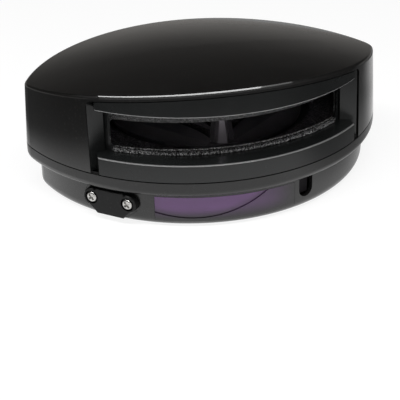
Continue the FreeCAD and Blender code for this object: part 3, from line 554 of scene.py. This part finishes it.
def place_tree(name):
    """Tree that sets a pattern on each seat along the seat's axis and makes one plain mesh of them."""
    tree = bpy.data.node_groups.new(name, "GeometryNodeTree")
    inputs = {"Seats": "Geometry", "Pattern": "Object", "Size": 1.0, "Finish": "Material"}
    add_sockets(tree, inputs, {"Pieces": "Geometry"})
    net = Net(tree)
    given = net.add("NodeGroupInput").outputs
    pattern = net.add("GeometryNodeObjectInfo", {"Object": given["Pattern"]})
    axis = net.add("GeometryNodeInputNamedAttribute", {"Name": "axis"}, data_type="FLOAT_VECTOR")
    turn = net.add("FunctionNodeAlignRotationToVector", {"Vector": axis.outputs["Attribute"]}, axis="Z")
    place = net.add("GeometryNodeInstanceOnPoints", {
        "Points": given["Seats"], "Instance": pattern.outputs["Geometry"],
        "Rotation": turn.outputs["Rotation"], "Scale": given["Size"]})
    whole = net.add("GeometryNodeRealizeInstances", {"Geometry": place.outputs["Instances"]})
    finish = net.add("GeometryNodeSetMaterial", {
        "Geometry": whole.outputs["Geometry"], "Material": given["Finish"]})
    net.add("NodeGroupOutput", {"Pieces": finish.outputs["Geometry"]})
    return tree


def set_inputs(modifier, values):
    for item in modifier.node_group.interface.items_tree:
        if item.in_out == "INPUT" and item.name in values:
            modifier[item.identifier] = values[item.name]


def placed(name, seats, axis, pattern, material):
    """Plain mesh piece with the pattern on every seat."""
    mesh = bpy.data.meshes.new(name + "_seats")
    mesh.from_pydata([tuple(s) for s in seats], [], [])
    direction = mesh.attributes.new("axis", "FLOAT_VECTOR", "POINT")
    for value in direction.data:
        value.vector = axis
    seat_piece = link(name + "_seats", mesh)
    modifier = seat_piece.modifiers.new("place", "NODES")
    modifier.node_group = bpy.data.node_groups.get("place_on_seats") or place_tree("place_on_seats")
    set_inputs(modifier, {"Pattern": pattern, "Size": 1.0, "Finish": material})
    result = plain_mesh(seat_piece, name)
    seat_piece.modifiers.clear()
    drop(seat_piece)
    drop(pattern)
    result.shade_smooth()
    result.set_sharp_from_angle(angle=SHARP_ANGLE)
    return link(name, result)


# Shader groups

SKIN_OUTPUTS = {"Colour": "Color", "Roughness": "Float", "Height": "Float"}

# Share of each axis in the streaks of a metal; the small one draws them out along the upright axis
STREAK_SHARES = (1.0, 1.0, 0.12)


def shader_group(name, inputs, outputs, build):
    """A shader group by name, built the first time it is asked for."""
    if name in bpy.data.node_groups:
        return bpy.data.node_groups[name]
    group = bpy.data.node_groups.new(name, "ShaderNodeTree")
    add_sockets(group, inputs, outputs)
    net = Net(group)
    given = net.add("NodeGroupInput").outputs
    net.add("NodeGroupOutput", build(net, given))
    return group


def oval_mask():
    """Mask that is 1 inside an oval and fades to 0; Inner and Outer are shares of its reach."""
    def build(net, given):
        from_centre = net.vector_math("SUBTRACT", given["Vector"], given["Centre"])["Vector"]
        share = net.vector_math("DIVIDE", from_centre, given["Reach"])["Vector"]
        away = net.vector_math("LENGTH", share)["Value"]
        return {"Mask": net.mapped(away, given["Inner"], given["Outer"], 1.0, 0.0, "SMOOTHSTEP")}
    inputs = {"Vector": "Vector", "Centre": "Vector", "Reach": "Vector", "Inner": 0.5, "Outer": 1.0}
    return shader_group("oval_mask", inputs, {"Mask": "Float"}, build)


def moulded_skin():
    """Moulded plastic: slow flow marks in gloss and colour, and the fine grain of the tool."""
    def build(net, given):
        flow = net.noise(given["Vector"], given["Flow Scale"], 4.0, 0.55)
        return {"Colour": net.scaled(given["Colour"], net.mapped(flow, 0.35, 0.65, 1.0, given["Lift"])),
                "Roughness": net.spread(flow, given["Roughness"], given["Gloss Spread"]),
                "Height": net.noise(given["Vector"], given["Grain Scale"], 2.0)}
    inputs = {"Vector": "Vector", "Colour": "Color", "Lift": 1.3, "Roughness": 0.4, "Gloss Spread": 0.08,
              "Flow Scale": 30.0, "Grain Scale": 2500.0}
    return shader_group("moulded_skin", inputs, SKIN_OUTPUTS, build)


def handling_marks():
    """Faint specks of dust that a handled surface picks up, as a mask."""
    def build(net, given):
        specks = net.noise(given["Vector"], given["Speck Scale"], 1.0)
        drift = net.noise(given["Vector"], given["Drift Scale"], 3.0)
        return {"Mask": net.product(net.mapped(specks, 0.62, 0.78), drift, given["Amount"])}
    inputs = {"Vector": "Vector", "Speck Scale": 900.0, "Drift Scale": 25.0, "Amount": 0.2}
    return shader_group("handling_marks", inputs, {"Mask": "Float"}, build)


def worked_metal():
    """Machined metal: streaks drawn out along the upright axis, with slow changes of gloss."""
    def build(net, given):
        drawn_out = net.vector_math("MULTIPLY", given["Vector"], STREAK_SHARES)["Vector"]
        streaks = net.noise(drawn_out, given["Streak Scale"], 3.0)
        cloud = net.noise(given["Vector"], given["Cloud Scale"], 3.0)
        return {"Colour": net.scaled(given["Colour"], net.mapped(cloud, 0.3, 0.6, given["Tarnish"], 1.0)),
                "Roughness": net.spread(streaks, given["Roughness"], given["Gloss Spread"]),
                "Height": streaks}
    inputs = {"Vector": "Vector", "Colour": "Color", "Tarnish": 0.8, "Roughness": 0.3, "Gloss Spread": 0.15,
              "Streak Scale": 900.0, "Cloud Scale": 180.0}
    return shader_group("worked_metal", inputs, SKIN_OUTPUTS, build)


def stipple():
    """Coarse light-catching specks as a mask, and the grain that they come from as a height."""
    def build(net, given):
        grain = net.noise(given["Vector"], given["Speck Scale"], 2.0, 0.6)
        return {"Mask": net.mapped(grain, 0.46, 0.66), "Height": grain}
    inputs = {"Vector": "Vector", "Speck Scale": 1500.0}
    return shader_group("stipple", inputs, {"Mask": "Float", "Height": "Float"}, build)


def wiped_film():
    """Uneven film of a wiped surface as a mask, and a roughness that runs with it from Low to High."""
    def build(net, given):
        haze = net.noise(given["Vector"], given["Scale"], given["Detail"])
        return {"Mask": haze, "Roughness": net.mapped(haze, to_min=given["Low"], to_max=given["High"])}
    inputs = {"Vector": "Vector", "Scale": 60.0, "Detail": 3.0, "Low": 0.0, "High": 0.05}
    return shader_group("wiped_film", inputs, {"Mask": "Float", "Roughness": "Float"}, build)


# Materials

def opaque(colour):
    return (*colour, 1.0)


def grey(level):
    return (level, level, level, 1.0)


class Finish(Net):
    """A new material with one surface shader, and the object's coordinates as its place."""

    def __init__(self, name):
        self.material = bpy.data.materials.new(name)
        self.material.use_nodes = True
        super().__init__(self.material.node_tree)
        self.shader = self.nodes["Principled BSDF"]
        self.place = self.add("ShaderNodeTexCoord").outputs["Object"]

    def group(self, group, values=None):
        """Outputs of a shader group that is laid over the object."""
        fed = {"Vector": self.place, **(values or {})}
        return self.add("ShaderNodeGroup", fed, node_tree=group).outputs

    def oval(self, centre, reach, inner, outer=1.0):
        values = {"Centre": centre, "Reach": reach, "Inner": inner, "Outer": outer}
        return self.group(oval_mask(), values)["Mask"]

    def band(self, height, reach, inner, outer=1.0):
        """Mask of what lies near one height."""
        return self.oval((0.0, 0.0, height), (UNLIMITED, UNLIMITED, reach), inner, outer)

    def within_arc(self, centre, radius, inner):
        """Mask of what lies inside an upright cylinder."""
        return self.oval(centre, (radius, radius, UNLIMITED), inner)

    def shade(self, values):
        """Feed inputs of the surface shader."""
        for label, value in values.items():
            self.feed(self.shader.inputs[label], value)

    def shade_over(self, label, mask, value):
        """Change an input of the surface shader where a mask says so."""
        socket = self.shader.inputs[label]
        before = socket.links[0].from_socket if socket.is_linked else socket.default_value
        kind = "RGBA" if label == "Base Color" else "FLOAT"
        self.shade({label: self.mixed(mask, before, value, kind)})

    def film(self, scale, detail, low, high):
        """Lay the film of a wiped surface on the roughness; returns the film's mask."""
        film = self.group(wiped_film(), {"Scale": scale, "Detail": detail, "Low": low, "High": high})
        self.shade({"Roughness": film["Roughness"]})
        return film["Mask"]

    def bump(self, height, strength, distance):
        node = self.add("ShaderNodeBump", {"Height": height, "Strength": strength, "Distance": distance})
        self.shade({"Normal": node.outputs["Normal"]})

    def surface(self, shader):
        self.feed(self.nodes["Material Output"].inputs["Surface"], shader)


def moulded_finish(name, colour, roughness, specular, grain=2500.0, bump=0.04, marks=0.25, coat=0.0):
    """Moulded plastic with tool grain, flow marks and faint dust."""
    finish = Finish(name)
    skin = finish.group(moulded_skin(), {
        "Colour": opaque(colour), "Roughness": roughness, "Grain Scale": grain})
    dust = finish.group(handling_marks(), {"Amount": marks})
    finish.shade({"Base Color": finish.mixed(dust["Mask"], skin["Colour"], opaque(DUST)),
                  "Roughness": skin["Roughness"], "Specular IOR Level": specular,
                  "Coat Weight": coat, "Coat Roughness": 0.06})
    finish.bump(skin["Height"], strength=bump, distance=0.0002)
    return finish


def moulded(*values, **options):
    return moulded_finish(*values, **options).material


def stippled(name, colour, speck, height, reach):
    """Matt plastic with a coarse, light-catching stipple that is strongest near one height."""
    finish = Finish(name)
    specks = finish.group(stipple())
    strength = finish.weighted(finish.band(height, reach, inner=0.3), weight=0.8, plus=0.2)
    amount = finish.product(specks["Mask"], strength)
    finish.shade({"Base Color": finish.mixed(amount, opaque(colour), opaque(speck)), "Roughness": 0.5})
    finish.bump(specks["Height"], strength=0.4, distance=0.0003)
    return finish.material


def cover_plastic(finishes):
    """Cover plastic, polished but for a satin band along the outer half of the lip."""
    finish = moulded_finish("cover_plastic", finishes.cover, roughness=0.35, specular=0.25, coat=1.0)
    inside = finish.within_arc(FRONT_ARC_CENTRE, front_radius(LIP_HEIGHT) - LIP_WIDTH / 2, inner=0.9985)
    satin = finish.product(finish.band(LIP_HEIGHT, LIP_REACH, inner=0.8), finish.inverse(inside))
    finish.shade_over("Roughness", satin, 0.6)
    finish.shade_over("Coat Weight", satin, 0.0)
    return finish.material


def tray_plastic(finishes):
    """Tray plastic, dull and darker on the snap hook that hangs below the tray: painted shade of the drum's
    notch that the hook sits in.
    """
    finish = moulded_finish("tray_plastic", finishes.tray, roughness=0.28, specular=0.5)
    # Painted shade on the snap hook below the tray's foot
    hook = finish.band(0.0, TRAY_FOOT, inner=0.96, outer=0.99)
    finish.shade_over("Base Color", hook, opaque(finishes.hook))
    finish.shade_over("Roughness", hook, 0.9)
    return finish.material


def front_edge(finish, height, width):
    """Mask of the outer edge of the front wall at a height."""
    inside = finish.within_arc(FRONT_ARC_CENTRE, front_radius(height) - width, inner=0.994)
    return finish.product(finish.band(height, width, inner=0.3), finish.inverse(inside))


def frame_rim(finish):
    """Mask of the lower rim of the window frame, from its front face back."""
    centre = FRONT_ARC_CENTRE + Vector((0.0, RECESS_DEPTH - RIM_MARGIN, 0.0))
    behind = finish.within_arc(centre, FRONT_ARC_RADIUS, inner=0.990)
    band = finish.band(SILL_HEIGHT + RIM_RISE, RIM_BAND, inner=0.85)
    length = finish.oval((0.0, 0.0, 0.0), (FRAME_HALF_WIDTH, UNLIMITED, UNLIMITED), inner=0.96)
    return finish.product(behind, band, length)


def bezel_plastic(finishes):
    """Bezel plastic with painted highlights along the brow's and the sill's edges, stippled on the frame's
    lower rim.
    """
    finish = moulded_finish("bezel_plastic", finishes.bezel, roughness=0.26, specular=0.5, marks=0.08)
    # Painted highlights along the front edges of the brow and the sill
    for height, colour in ((BROW_HEIGHT, finishes.brow_painted_highlight), (SILL_HEIGHT, finishes.sill_painted_highlight)):
        finish.shade_over("Base Color", front_edge(finish, height, PAINTED_HIGHLIGHT_WIDTH), opaque(colour))
    specks = finish.product(finish.group(stipple())["Mask"], frame_rim(finish))
    finish.shade_over("Base Color", specks, opaque(finishes.stipple))
    return finish.material


def metal(name, colour, roughness, tarnish=0.8):
    """Machined metal with faint streaks."""
    finish = Finish(name)
    work = finish.group(worked_metal(), {
        "Colour": opaque(colour), "Roughness": roughness, "Tarnish": tarnish})
    finish.shade({"Base Color": work["Colour"], "Roughness": work["Roughness"], "Metallic": 1.0})
    finish.bump(work["Height"], strength=0.05, distance=0.0001)
    return finish.material


def smoked(name, colour):
    """Smoked pane that tints what is behind it and lets lamp light through."""
    finish = Finish(name)
    finish.film(scale=40.0, detail=3.0, low=0.01, high=0.05)
    finish.shade({"Base Color": opaque(colour), "Transmission Weight": 1.0, "IOR": 1.05})
    clear = finish.add("ShaderNodeBsdfTransparent", {"Color": opaque(colour)}).outputs["BSDF"]
    rays = finish.add("ShaderNodeLightPath").outputs
    finish.surface(finish.mixed_shader(rays["Is Shadow Ray"], finish.shader.outputs["BSDF"], clear))
    return finish.material


def violet(name, finishes):
    """Polished near-black filter with a painted violet sheen above its groove; near black below the groove
    and toward its ends.
    """
    finish = Finish(name)
    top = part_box("violet_window")[1].z
    above = finish.oval(GROOVE_CENTRE, (GROOVE_RADIUS, UNLIMITED, GROOVE_RADIUS), inner=0.94)
    ends = finish.oval(SHEEN_CENTRE, (SHEEN_REACH, UNLIMITED, UNLIMITED), inner=0.55)
    foot = finish.band(top, top, inner=0.25, outer=0.8)
    flow = finish.noise(finish.place, scale=60.0, detail=3.0)
    hue = finish.weighted(above, weight=0.45, plus=0.55)
    mottle = finish.weighted(flow, weight=0.4, plus=0.8)
    # Painted violet sheen: strongest above the groove and mid-filter, fading toward the ends and the foot
    amount = finish.product(ends, foot, hue, mottle)
    finish.shade({"Base Color": finish.mixed(amount, opaque(finishes.violet), opaque(finishes.violet_painted_sheen)),
                  "Roughness": finish.weighted(flow, weight=0.12, plus=0.16),
                  "Coat Weight": 0.2, "Coat Roughness": 0.12})
    return finish.material


def mirror(name, colour):
    """First-surface mirror with a faint film of dust."""
    finish = Finish(name)
    haze = finish.film(scale=70.0, detail=4.0, low=0.01, high=0.07)
    dulled = [0.9 * c for c in colour]
    finish.shade({"Base Color": finish.mixed(haze, opaque(colour), opaque(dulled)), "Metallic": 1.0})
    return finish.material


def lens_glass(name, colour):
    """Clear lens with a faint film."""
    finish = Finish(name)
    finish.film(scale=90.0, detail=3.0, low=0.0, high=0.04)
    finish.shade({"Base Color": opaque(colour), "Transmission Weight": 1.0, "IOR": 1.5})
    return finish.material


def board(name, colour):
    """Lacquered circuit board with a weave of tracks under the lacquer."""
    finish = Finish(name)
    light, lightest = ([share * c for c in colour] for share in (1.5, 2.6))
    tracks = finish.add("ShaderNodeTexBrick", {
        "Vector": finish.place, "Scale": 160.0, "Color1": opaque(colour), "Color2": opaque(light),
        "Mortar": opaque(lightest)}).outputs
    finish.shade({"Base Color": tracks["Color"]})
    finish.film(scale=300.0, detail=2.0, low=0.2, high=0.4)
    finish.bump(tracks["Fac"], strength=0.1, distance=0.0001)
    return finish.material


def dress(material, *nodes):
    """Give CAD nodes a finished material in place of the plain one of their slot."""
    for name in nodes:
        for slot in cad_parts[name].material_slots:
            slot.material = material


def shared(name, colour, roughness):
    """A metal by name, made the first time it is asked for."""
    return bpy.data.materials.get(name) or metal(name, colour, roughness)


def steel_material(finishes):
    return shared("zinc_steel", finishes.steel, roughness=0.28)


def brass_material(finishes):
    return shared("turned_brass", finishes.brass, roughness=0.3)


def iron_material(finishes):
    return shared("laminated_iron", finishes.iron, roughness=0.5)


# Stage

def floor_glow(finish):
    """Brightness of the floor in reflections: a painted pool of light round the sensor, dimmed in part by a
    painted shade, and pale far off.
    """
    patches = (FLOOR_POOL, FLOOR_REAR, FLOOR_PAINTED_SHADE, FLOOR_NEAR)
    pool, rear, painted_shade, near = (finish.within_arc(*patch) for patch in patches)
    far = finish.weighted(near, NEAR_GLOW - FAR_GLOW, FAR_GLOW)
    ground = finish.weighted(rear, REAR_GLOW, far)
    # Painted pool of light with a painted shade in it, over a paler ground
    return finish.weighted(pool, finish.weighted(painted_shade, -PAINTED_SHADE_DEPTH, 1.0), ground)


def floor_paper():
    """Pale paper: white to the camera with the shadow, and a glow of its own in reflections."""
    finish = Finish("studio_paper")
    finish.nodes.remove(finish.shader)
    mirrored = finish.add("ShaderNodeEmission", {"Color": floor_glow(finish)}).outputs["Emission"]
    paper = finish.add("ShaderNodeBsdfDiffuse", {"Color": grey(PAPER_GREY)}).outputs["BSDF"]
    pale = finish.add("ShaderNodeBsdfDiffuse", {"Color": grey(SHADOW_GREY)}).outputs["BSDF"]
    lit = finish.add("ShaderNodeEmission", {"Strength": CAMERA_GLOW}).outputs["Emission"]
    seen = finish.add("ShaderNodeAddShader", {0: pale, 1: lit}).outputs["Shader"]
    rays = finish.add("ShaderNodeLightPath").outputs
    sharp = finish.math("MAXIMUM", rays["Is Glossy Ray"], rays["Is Transmission Ray"])
    unseen = finish.mixed_shader(sharp, paper, mirrored)
    finish.surface(finish.mixed_shader(rays["Is Camera Ray"], unseen, seen))
    return finish.material


def add_floor(stage):
    half = stage.floor_size / 2
    corners = ((-half, -half), (half, -half), (half, half), (-half, half))
    bm = bmesh.new()
    bm.faces.new([bm.verts.new((x, y, 0)) for x, y in corners])
    floor = link("studio_floor", mesh_from(bm, "studio_floor"))
    floor.data.materials.append(floor_paper())


def turned_to(place, side, up, back):
    """World matrix of a lamp or camera from its place and its three axes."""
    return Matrix.Translation(place) @ Matrix((side, up, back)).transposed().to_4x4()


def add_lamp(name, start, end, width, aim, glow):
    """Lamp that runs from start to end and faces the point aim; glow is its brightness."""
    along = end - start
    lamp = bpy.data.lights.new(name, "AREA")
    lamp.shape = "RECTANGLE"
    lamp.size = along.length
    lamp.size_y = width
    lamp.energy = glow * math.pi * lamp.size * lamp.size_y
    piece = bpy.data.objects.new(name, lamp)
    bpy.context.scene.collection.objects.link(piece)
    place = (start + end) / 2
    side = along.normalized()
    back = place - aim
    back = (back - side * back.dot(side)).normalized()
    piece.matrix_world = turned_to(place, side, back.cross(side), back)


def add_lamps(stage):
    """Strip lamps in an arc, so that the front edge of the cover mirrors them, and a weak fill in front."""
    arc = [Vector((x, y, stage.strip_height)) for x, y in STRIP_CORNERS]
    for i, (start, end, share) in enumerate(zip(arc, arc[1:], STRIP_SHARES)):
        below = Vector(((start.x + end.x) / 2, (start.y + end.y) / 2, 0.0))
        add_lamp("strip_lamp_%d" % i, start, end, stage.strip_width, below, share * stage.strip_glow)
    add_lamp("front_fill", *FILL_ENDS, FILL_WIDTH, FILL_AIM, stage.fill_glow)


def add_world(scene):
    """White to the camera; to reflections and light a pale horizon that fades to a dark ceiling."""
    world = bpy.data.worlds.new("studio_air")
    scene.world = world
    world.use_nodes = True
    net = Net(world.node_tree)
    direction = net.add("ShaderNodeTexCoord").outputs["Generated"]
    along = net.add("ShaderNodeSeparateXYZ", {"Vector": direction}).outputs
    ramp = net.add("ShaderNodeValToRGB", {"Fac": along["Z"]})
    bands = ramp.color_ramp.elements
    while len(bands) < len(AIR_LEVELS):
        bands.new(0.5)
    for band, (height, level) in zip(bands, AIR_LEVELS):
        band.position = height
        band.color = opaque([share * level for share in AIR_WARMTH])
    sideways = net.mapped(along["X"], 0.0, AIR_RIGHT_EDGE, AIR_LEFT, AIR_RIGHT)
    dimmed = net.scaled(ramp.outputs["Color"], sideways)
    rays = net.add("ShaderNodeLightPath").outputs
    net.feed(net.nodes["Background"].inputs["Color"], net.mixed(rays["Is Camera Ray"], dimmed, grey(1.0)))


def add_camera(scene, stage):
    data = bpy.data.cameras.new("photo_camera")
    data.sensor_width = 36.0
    data.lens = stage.lens
    data.shift_x = stage.shift_x
    data.shift_y = stage.shift_y
    data.clip_start = 0.01
    camera = bpy.data.objects.new("photo_camera", data)
    scene.collection.objects.link(camera)
    level = math.cos(stage.elevation)
    back = Vector((math.sin(stage.azimuth) * level, -math.cos(stage.azimuth) * level,
                   math.sin(stage.elevation)))
    side = Vector((math.cos(stage.azimuth), math.sin(stage.azimuth), 0))
    up = back.cross(side)
    right = side * math.cos(stage.roll) + up * math.sin(stage.roll)
    above = up * math.cos(stage.roll) - side * math.sin(stage.roll)
    aim = Vector((0, 0, stage.aim_height))
    camera.matrix_world = turned_to(aim + back * stage.distance, right, above, back)
    scene.camera = camera


# Operators

class SENSOR_OT_housing(bpy.types.Operator):
    """Finish the cover, bezel, tray, drum and connector cover"""
    bl_idname = "sensor.housing"
    bl_label = "Housing"

    def execute(self, context):
        finishes = context.scene.sensor_finishes
        dress(cover_plastic(finishes), "top_cover")
        dress(bezel_plastic(finishes), "front_bezel")
        dress(tray_plastic(finishes), "lower_tray")
        dress(moulded("drum_plastic", finishes.drum, roughness=0.24, specular=0.6), "base_drum")
        dress(moulded("plate_plastic", finishes.plate, roughness=0.34, specular=0.2), "connector_cover")
        rubber = moulded("seal_rubber", finishes.rubber, roughness=0.7, specular=0.3,
                         grain=1500.0, bump=0.15)
        dress(rubber, "housing_seal", "window_gasket", "connector_gasket")
        return {"FINISHED"}


class SENSOR_OT_windows(bpy.types.Operator):
    """Finish the scanning window and the violet filter"""
    bl_idname = "sensor.windows"
    bl_label = "Windows"

    def execute(self, context):
        finishes = context.scene.sensor_finishes
        dress(smoked("smoked_pane", finishes.window), "laser_window")
        dress(violet("violet_pane", finishes), "violet_window")
        sizes = context.scene.sensor_border
        border = window_border(sizes)
        specks = stippled("border_stipple", finishes.chassis, finishes.stipple, sizes.low, BORDER_BAND)
        border.data.materials.append(specks)
        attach(border, HOUSING)
        return {"FINISHED"}


class SENSOR_OT_screws(bpy.types.Operator):
    """Set detailed screws in place of the plain ones"""
    bl_idname = "sensor.screws"
    bl_label = "Screws"

    def execute(self, context):
        fixings = context.scene.sensor_fixings
        steel = steel_material(context.scene.sensor_finishes)
        first, second = (middle(solid) for solid in islands("connector_cover_screws"))
        outward = (second - first).cross(UP).normalized()
        axes = {"connector_cover_screws": outward, "cover_screws": DOWN, "base_screws": DOWN,
                "board_screws": UP, "chassis_screws": UP, "motor_screws": UP}
        for node, axis in axes.items():
            seats, length = screw_seats(node, axis, fixings)
            piece = placed("detailed_" + node, seats, axis, screw_pattern(fixings, length), steel)
            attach(piece, HOUSING)
            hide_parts(node)
        return {"FINISHED"}


class SENSOR_OT_inserts(bpy.types.Operator):
    """Set knurled threaded inserts in place of the plain ones"""
    bl_idname = "sensor.inserts"
    bl_label = "Threaded inserts"

    def execute(self, context):
        fixings = context.scene.sensor_fixings
        solids = islands("mounting_inserts")
        seats = [Vector((middle(s).x, middle(s).y, min(p.z for p in s))) for s in solids]
        reach = [(p - seats[0]).xy.length for p in solids[0]]
        height = max(p.z for p in solids[0]) - seats[0].z
        pattern = insert_pattern(fixings, max(reach), min(reach), height)
        piece = placed("knurled_inserts", seats, UP, pattern, brass_material(context.scene.sensor_finishes))
        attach(piece, HOUSING)
        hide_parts("mounting_inserts")
        return {"FINISHED"}


class SENSOR_OT_rotor(bpy.types.Operator):
    """Finish the mirror wheel and what turns with it"""
    bl_idname = "sensor.rotor"
    bl_label = "Mirror rotor"

    def execute(self, context):
        finishes = context.scene.sensor_finishes
        dress(metal("wheel_anodised", finishes.wheel, roughness=0.45, tarnish=0.9), "mirror_wheel")
        facets = edged_facets(mirror("mirror_coat", finishes.mirror),
                              moulded("facet_edge", finishes.chassis, roughness=0.5, specular=0.4))
        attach(facets, ROTOR)
        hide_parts("mirror_facets")
        dress(steel_material(finishes), "motor_shaft", "encoder_disc")
        dress(iron_material(finishes), "rotor_magnet")
        return {"FINISHED"}


class SENSOR_OT_works(bpy.types.Operator):
    """Finish the chassis, motor, optics, boards and connector inside"""
    bl_idname = "sensor.works"
    bl_label = "Inner works"

    def execute(self, context):
        finishes = context.scene.sensor_finishes
        dress(moulded("holder_plastic", finishes.chassis, roughness=0.5, specular=0.4),
              "laser_holder", "receiver_holder")
        dress(stippled("deck_plastic", finishes.chassis, finishes.deck_speck, DECK_HEIGHT, DECK_BAND),
              "optics_chassis")
        dress(moulded("socket_plastic", finishes.socket, roughness=0.45, specular=0.4),
              "connector_socket", "board_chips", "encoder_sensor", "photodiode")
        dress(metal("motor_aluminium", finishes.aluminium, roughness=0.35), "motor_housing")
        dress(iron_material(finishes), "motor_stator")
        dress(steel_material(finishes), "lower_bearing", "upper_bearing")
        dress(brass_material(finishes), "connector_pins", "laser_module")
        dress(board("board_lacquer", finishes.board), "main_board", "indicator_board", "receiver_board")
        dress(lens_glass("lens_clear", finishes.lens), "collimator_lens", "receiver_lens")
        dress(moulded("lamp_resin", LAMP_RESIN, roughness=0.15, specular=0.5), "indicator_leds")
        return {"FINISHED"}


class SENSOR_OT_stage(bpy.types.Operator):
    """Add the floor, the lamps, the world and the camera"""
    bl_idname = "sensor.stage"
    bl_label = "Studio"

    def execute(self, context):
        stage = context.scene.sensor_stage
        context.scene.view_settings.view_transform = "Standard"
        add_floor(stage)
        add_lamps(stage)
        add_world(context.scene)
        add_camera(context.scene, stage)
        return {"FINISHED"}


# Panel and registration

class SENSOR_PT_panel(bpy.types.Panel):
    """Steps that dress the laser presence sensor"""
    bl_idname = "SENSOR_PT_panel"
    bl_label = "Laser presence sensor"
    bl_space_type = "VIEW_3D"
    bl_region_type = "UI"
    bl_category = "Sensor"

    def draw(self, context):
        for step in STEPS:
            self.layout.operator(step.bl_idname)
        for group in (getattr(context.scene, name) for name in GROUPS):
            box = self.layout.box()
            for name in group.__annotations__:
                box.prop(group, name)


STEPS = (SENSOR_OT_housing, SENSOR_OT_windows, SENSOR_OT_screws, SENSOR_OT_inserts, SENSOR_OT_rotor,
         SENSOR_OT_works, SENSOR_OT_stage)
GROUPS = {"sensor_finishes": SensorFinishes, "sensor_fixings": SensorFixings, "sensor_border": SensorBorder,
          "sensor_stage": SensorStage}


def register():
    for kind in (*GROUPS.values(), *STEPS, SENSOR_PT_panel):
        bpy.utils.register_class(kind)
    for name, kind in GROUPS.items():
        setattr(bpy.types.Scene, name, PointerProperty(type=kind))


def unregister():
    for name in GROUPS:
        delattr(bpy.types.Scene, name)
    for kind in (SENSOR_PT_panel, *reversed(STEPS), *GROUPS.values()):
        bpy.utils.unregister_class(kind)


def main():
    register()
    bpy.ops.sensor.housing()
    bpy.ops.sensor.windows()
    bpy.ops.sensor.screws()
    bpy.ops.sensor.inserts()
    bpy.ops.sensor.rotor()
    bpy.ops.sensor.works()
    bpy.ops.sensor.stage()


if __name__ == "__main__":
    main()
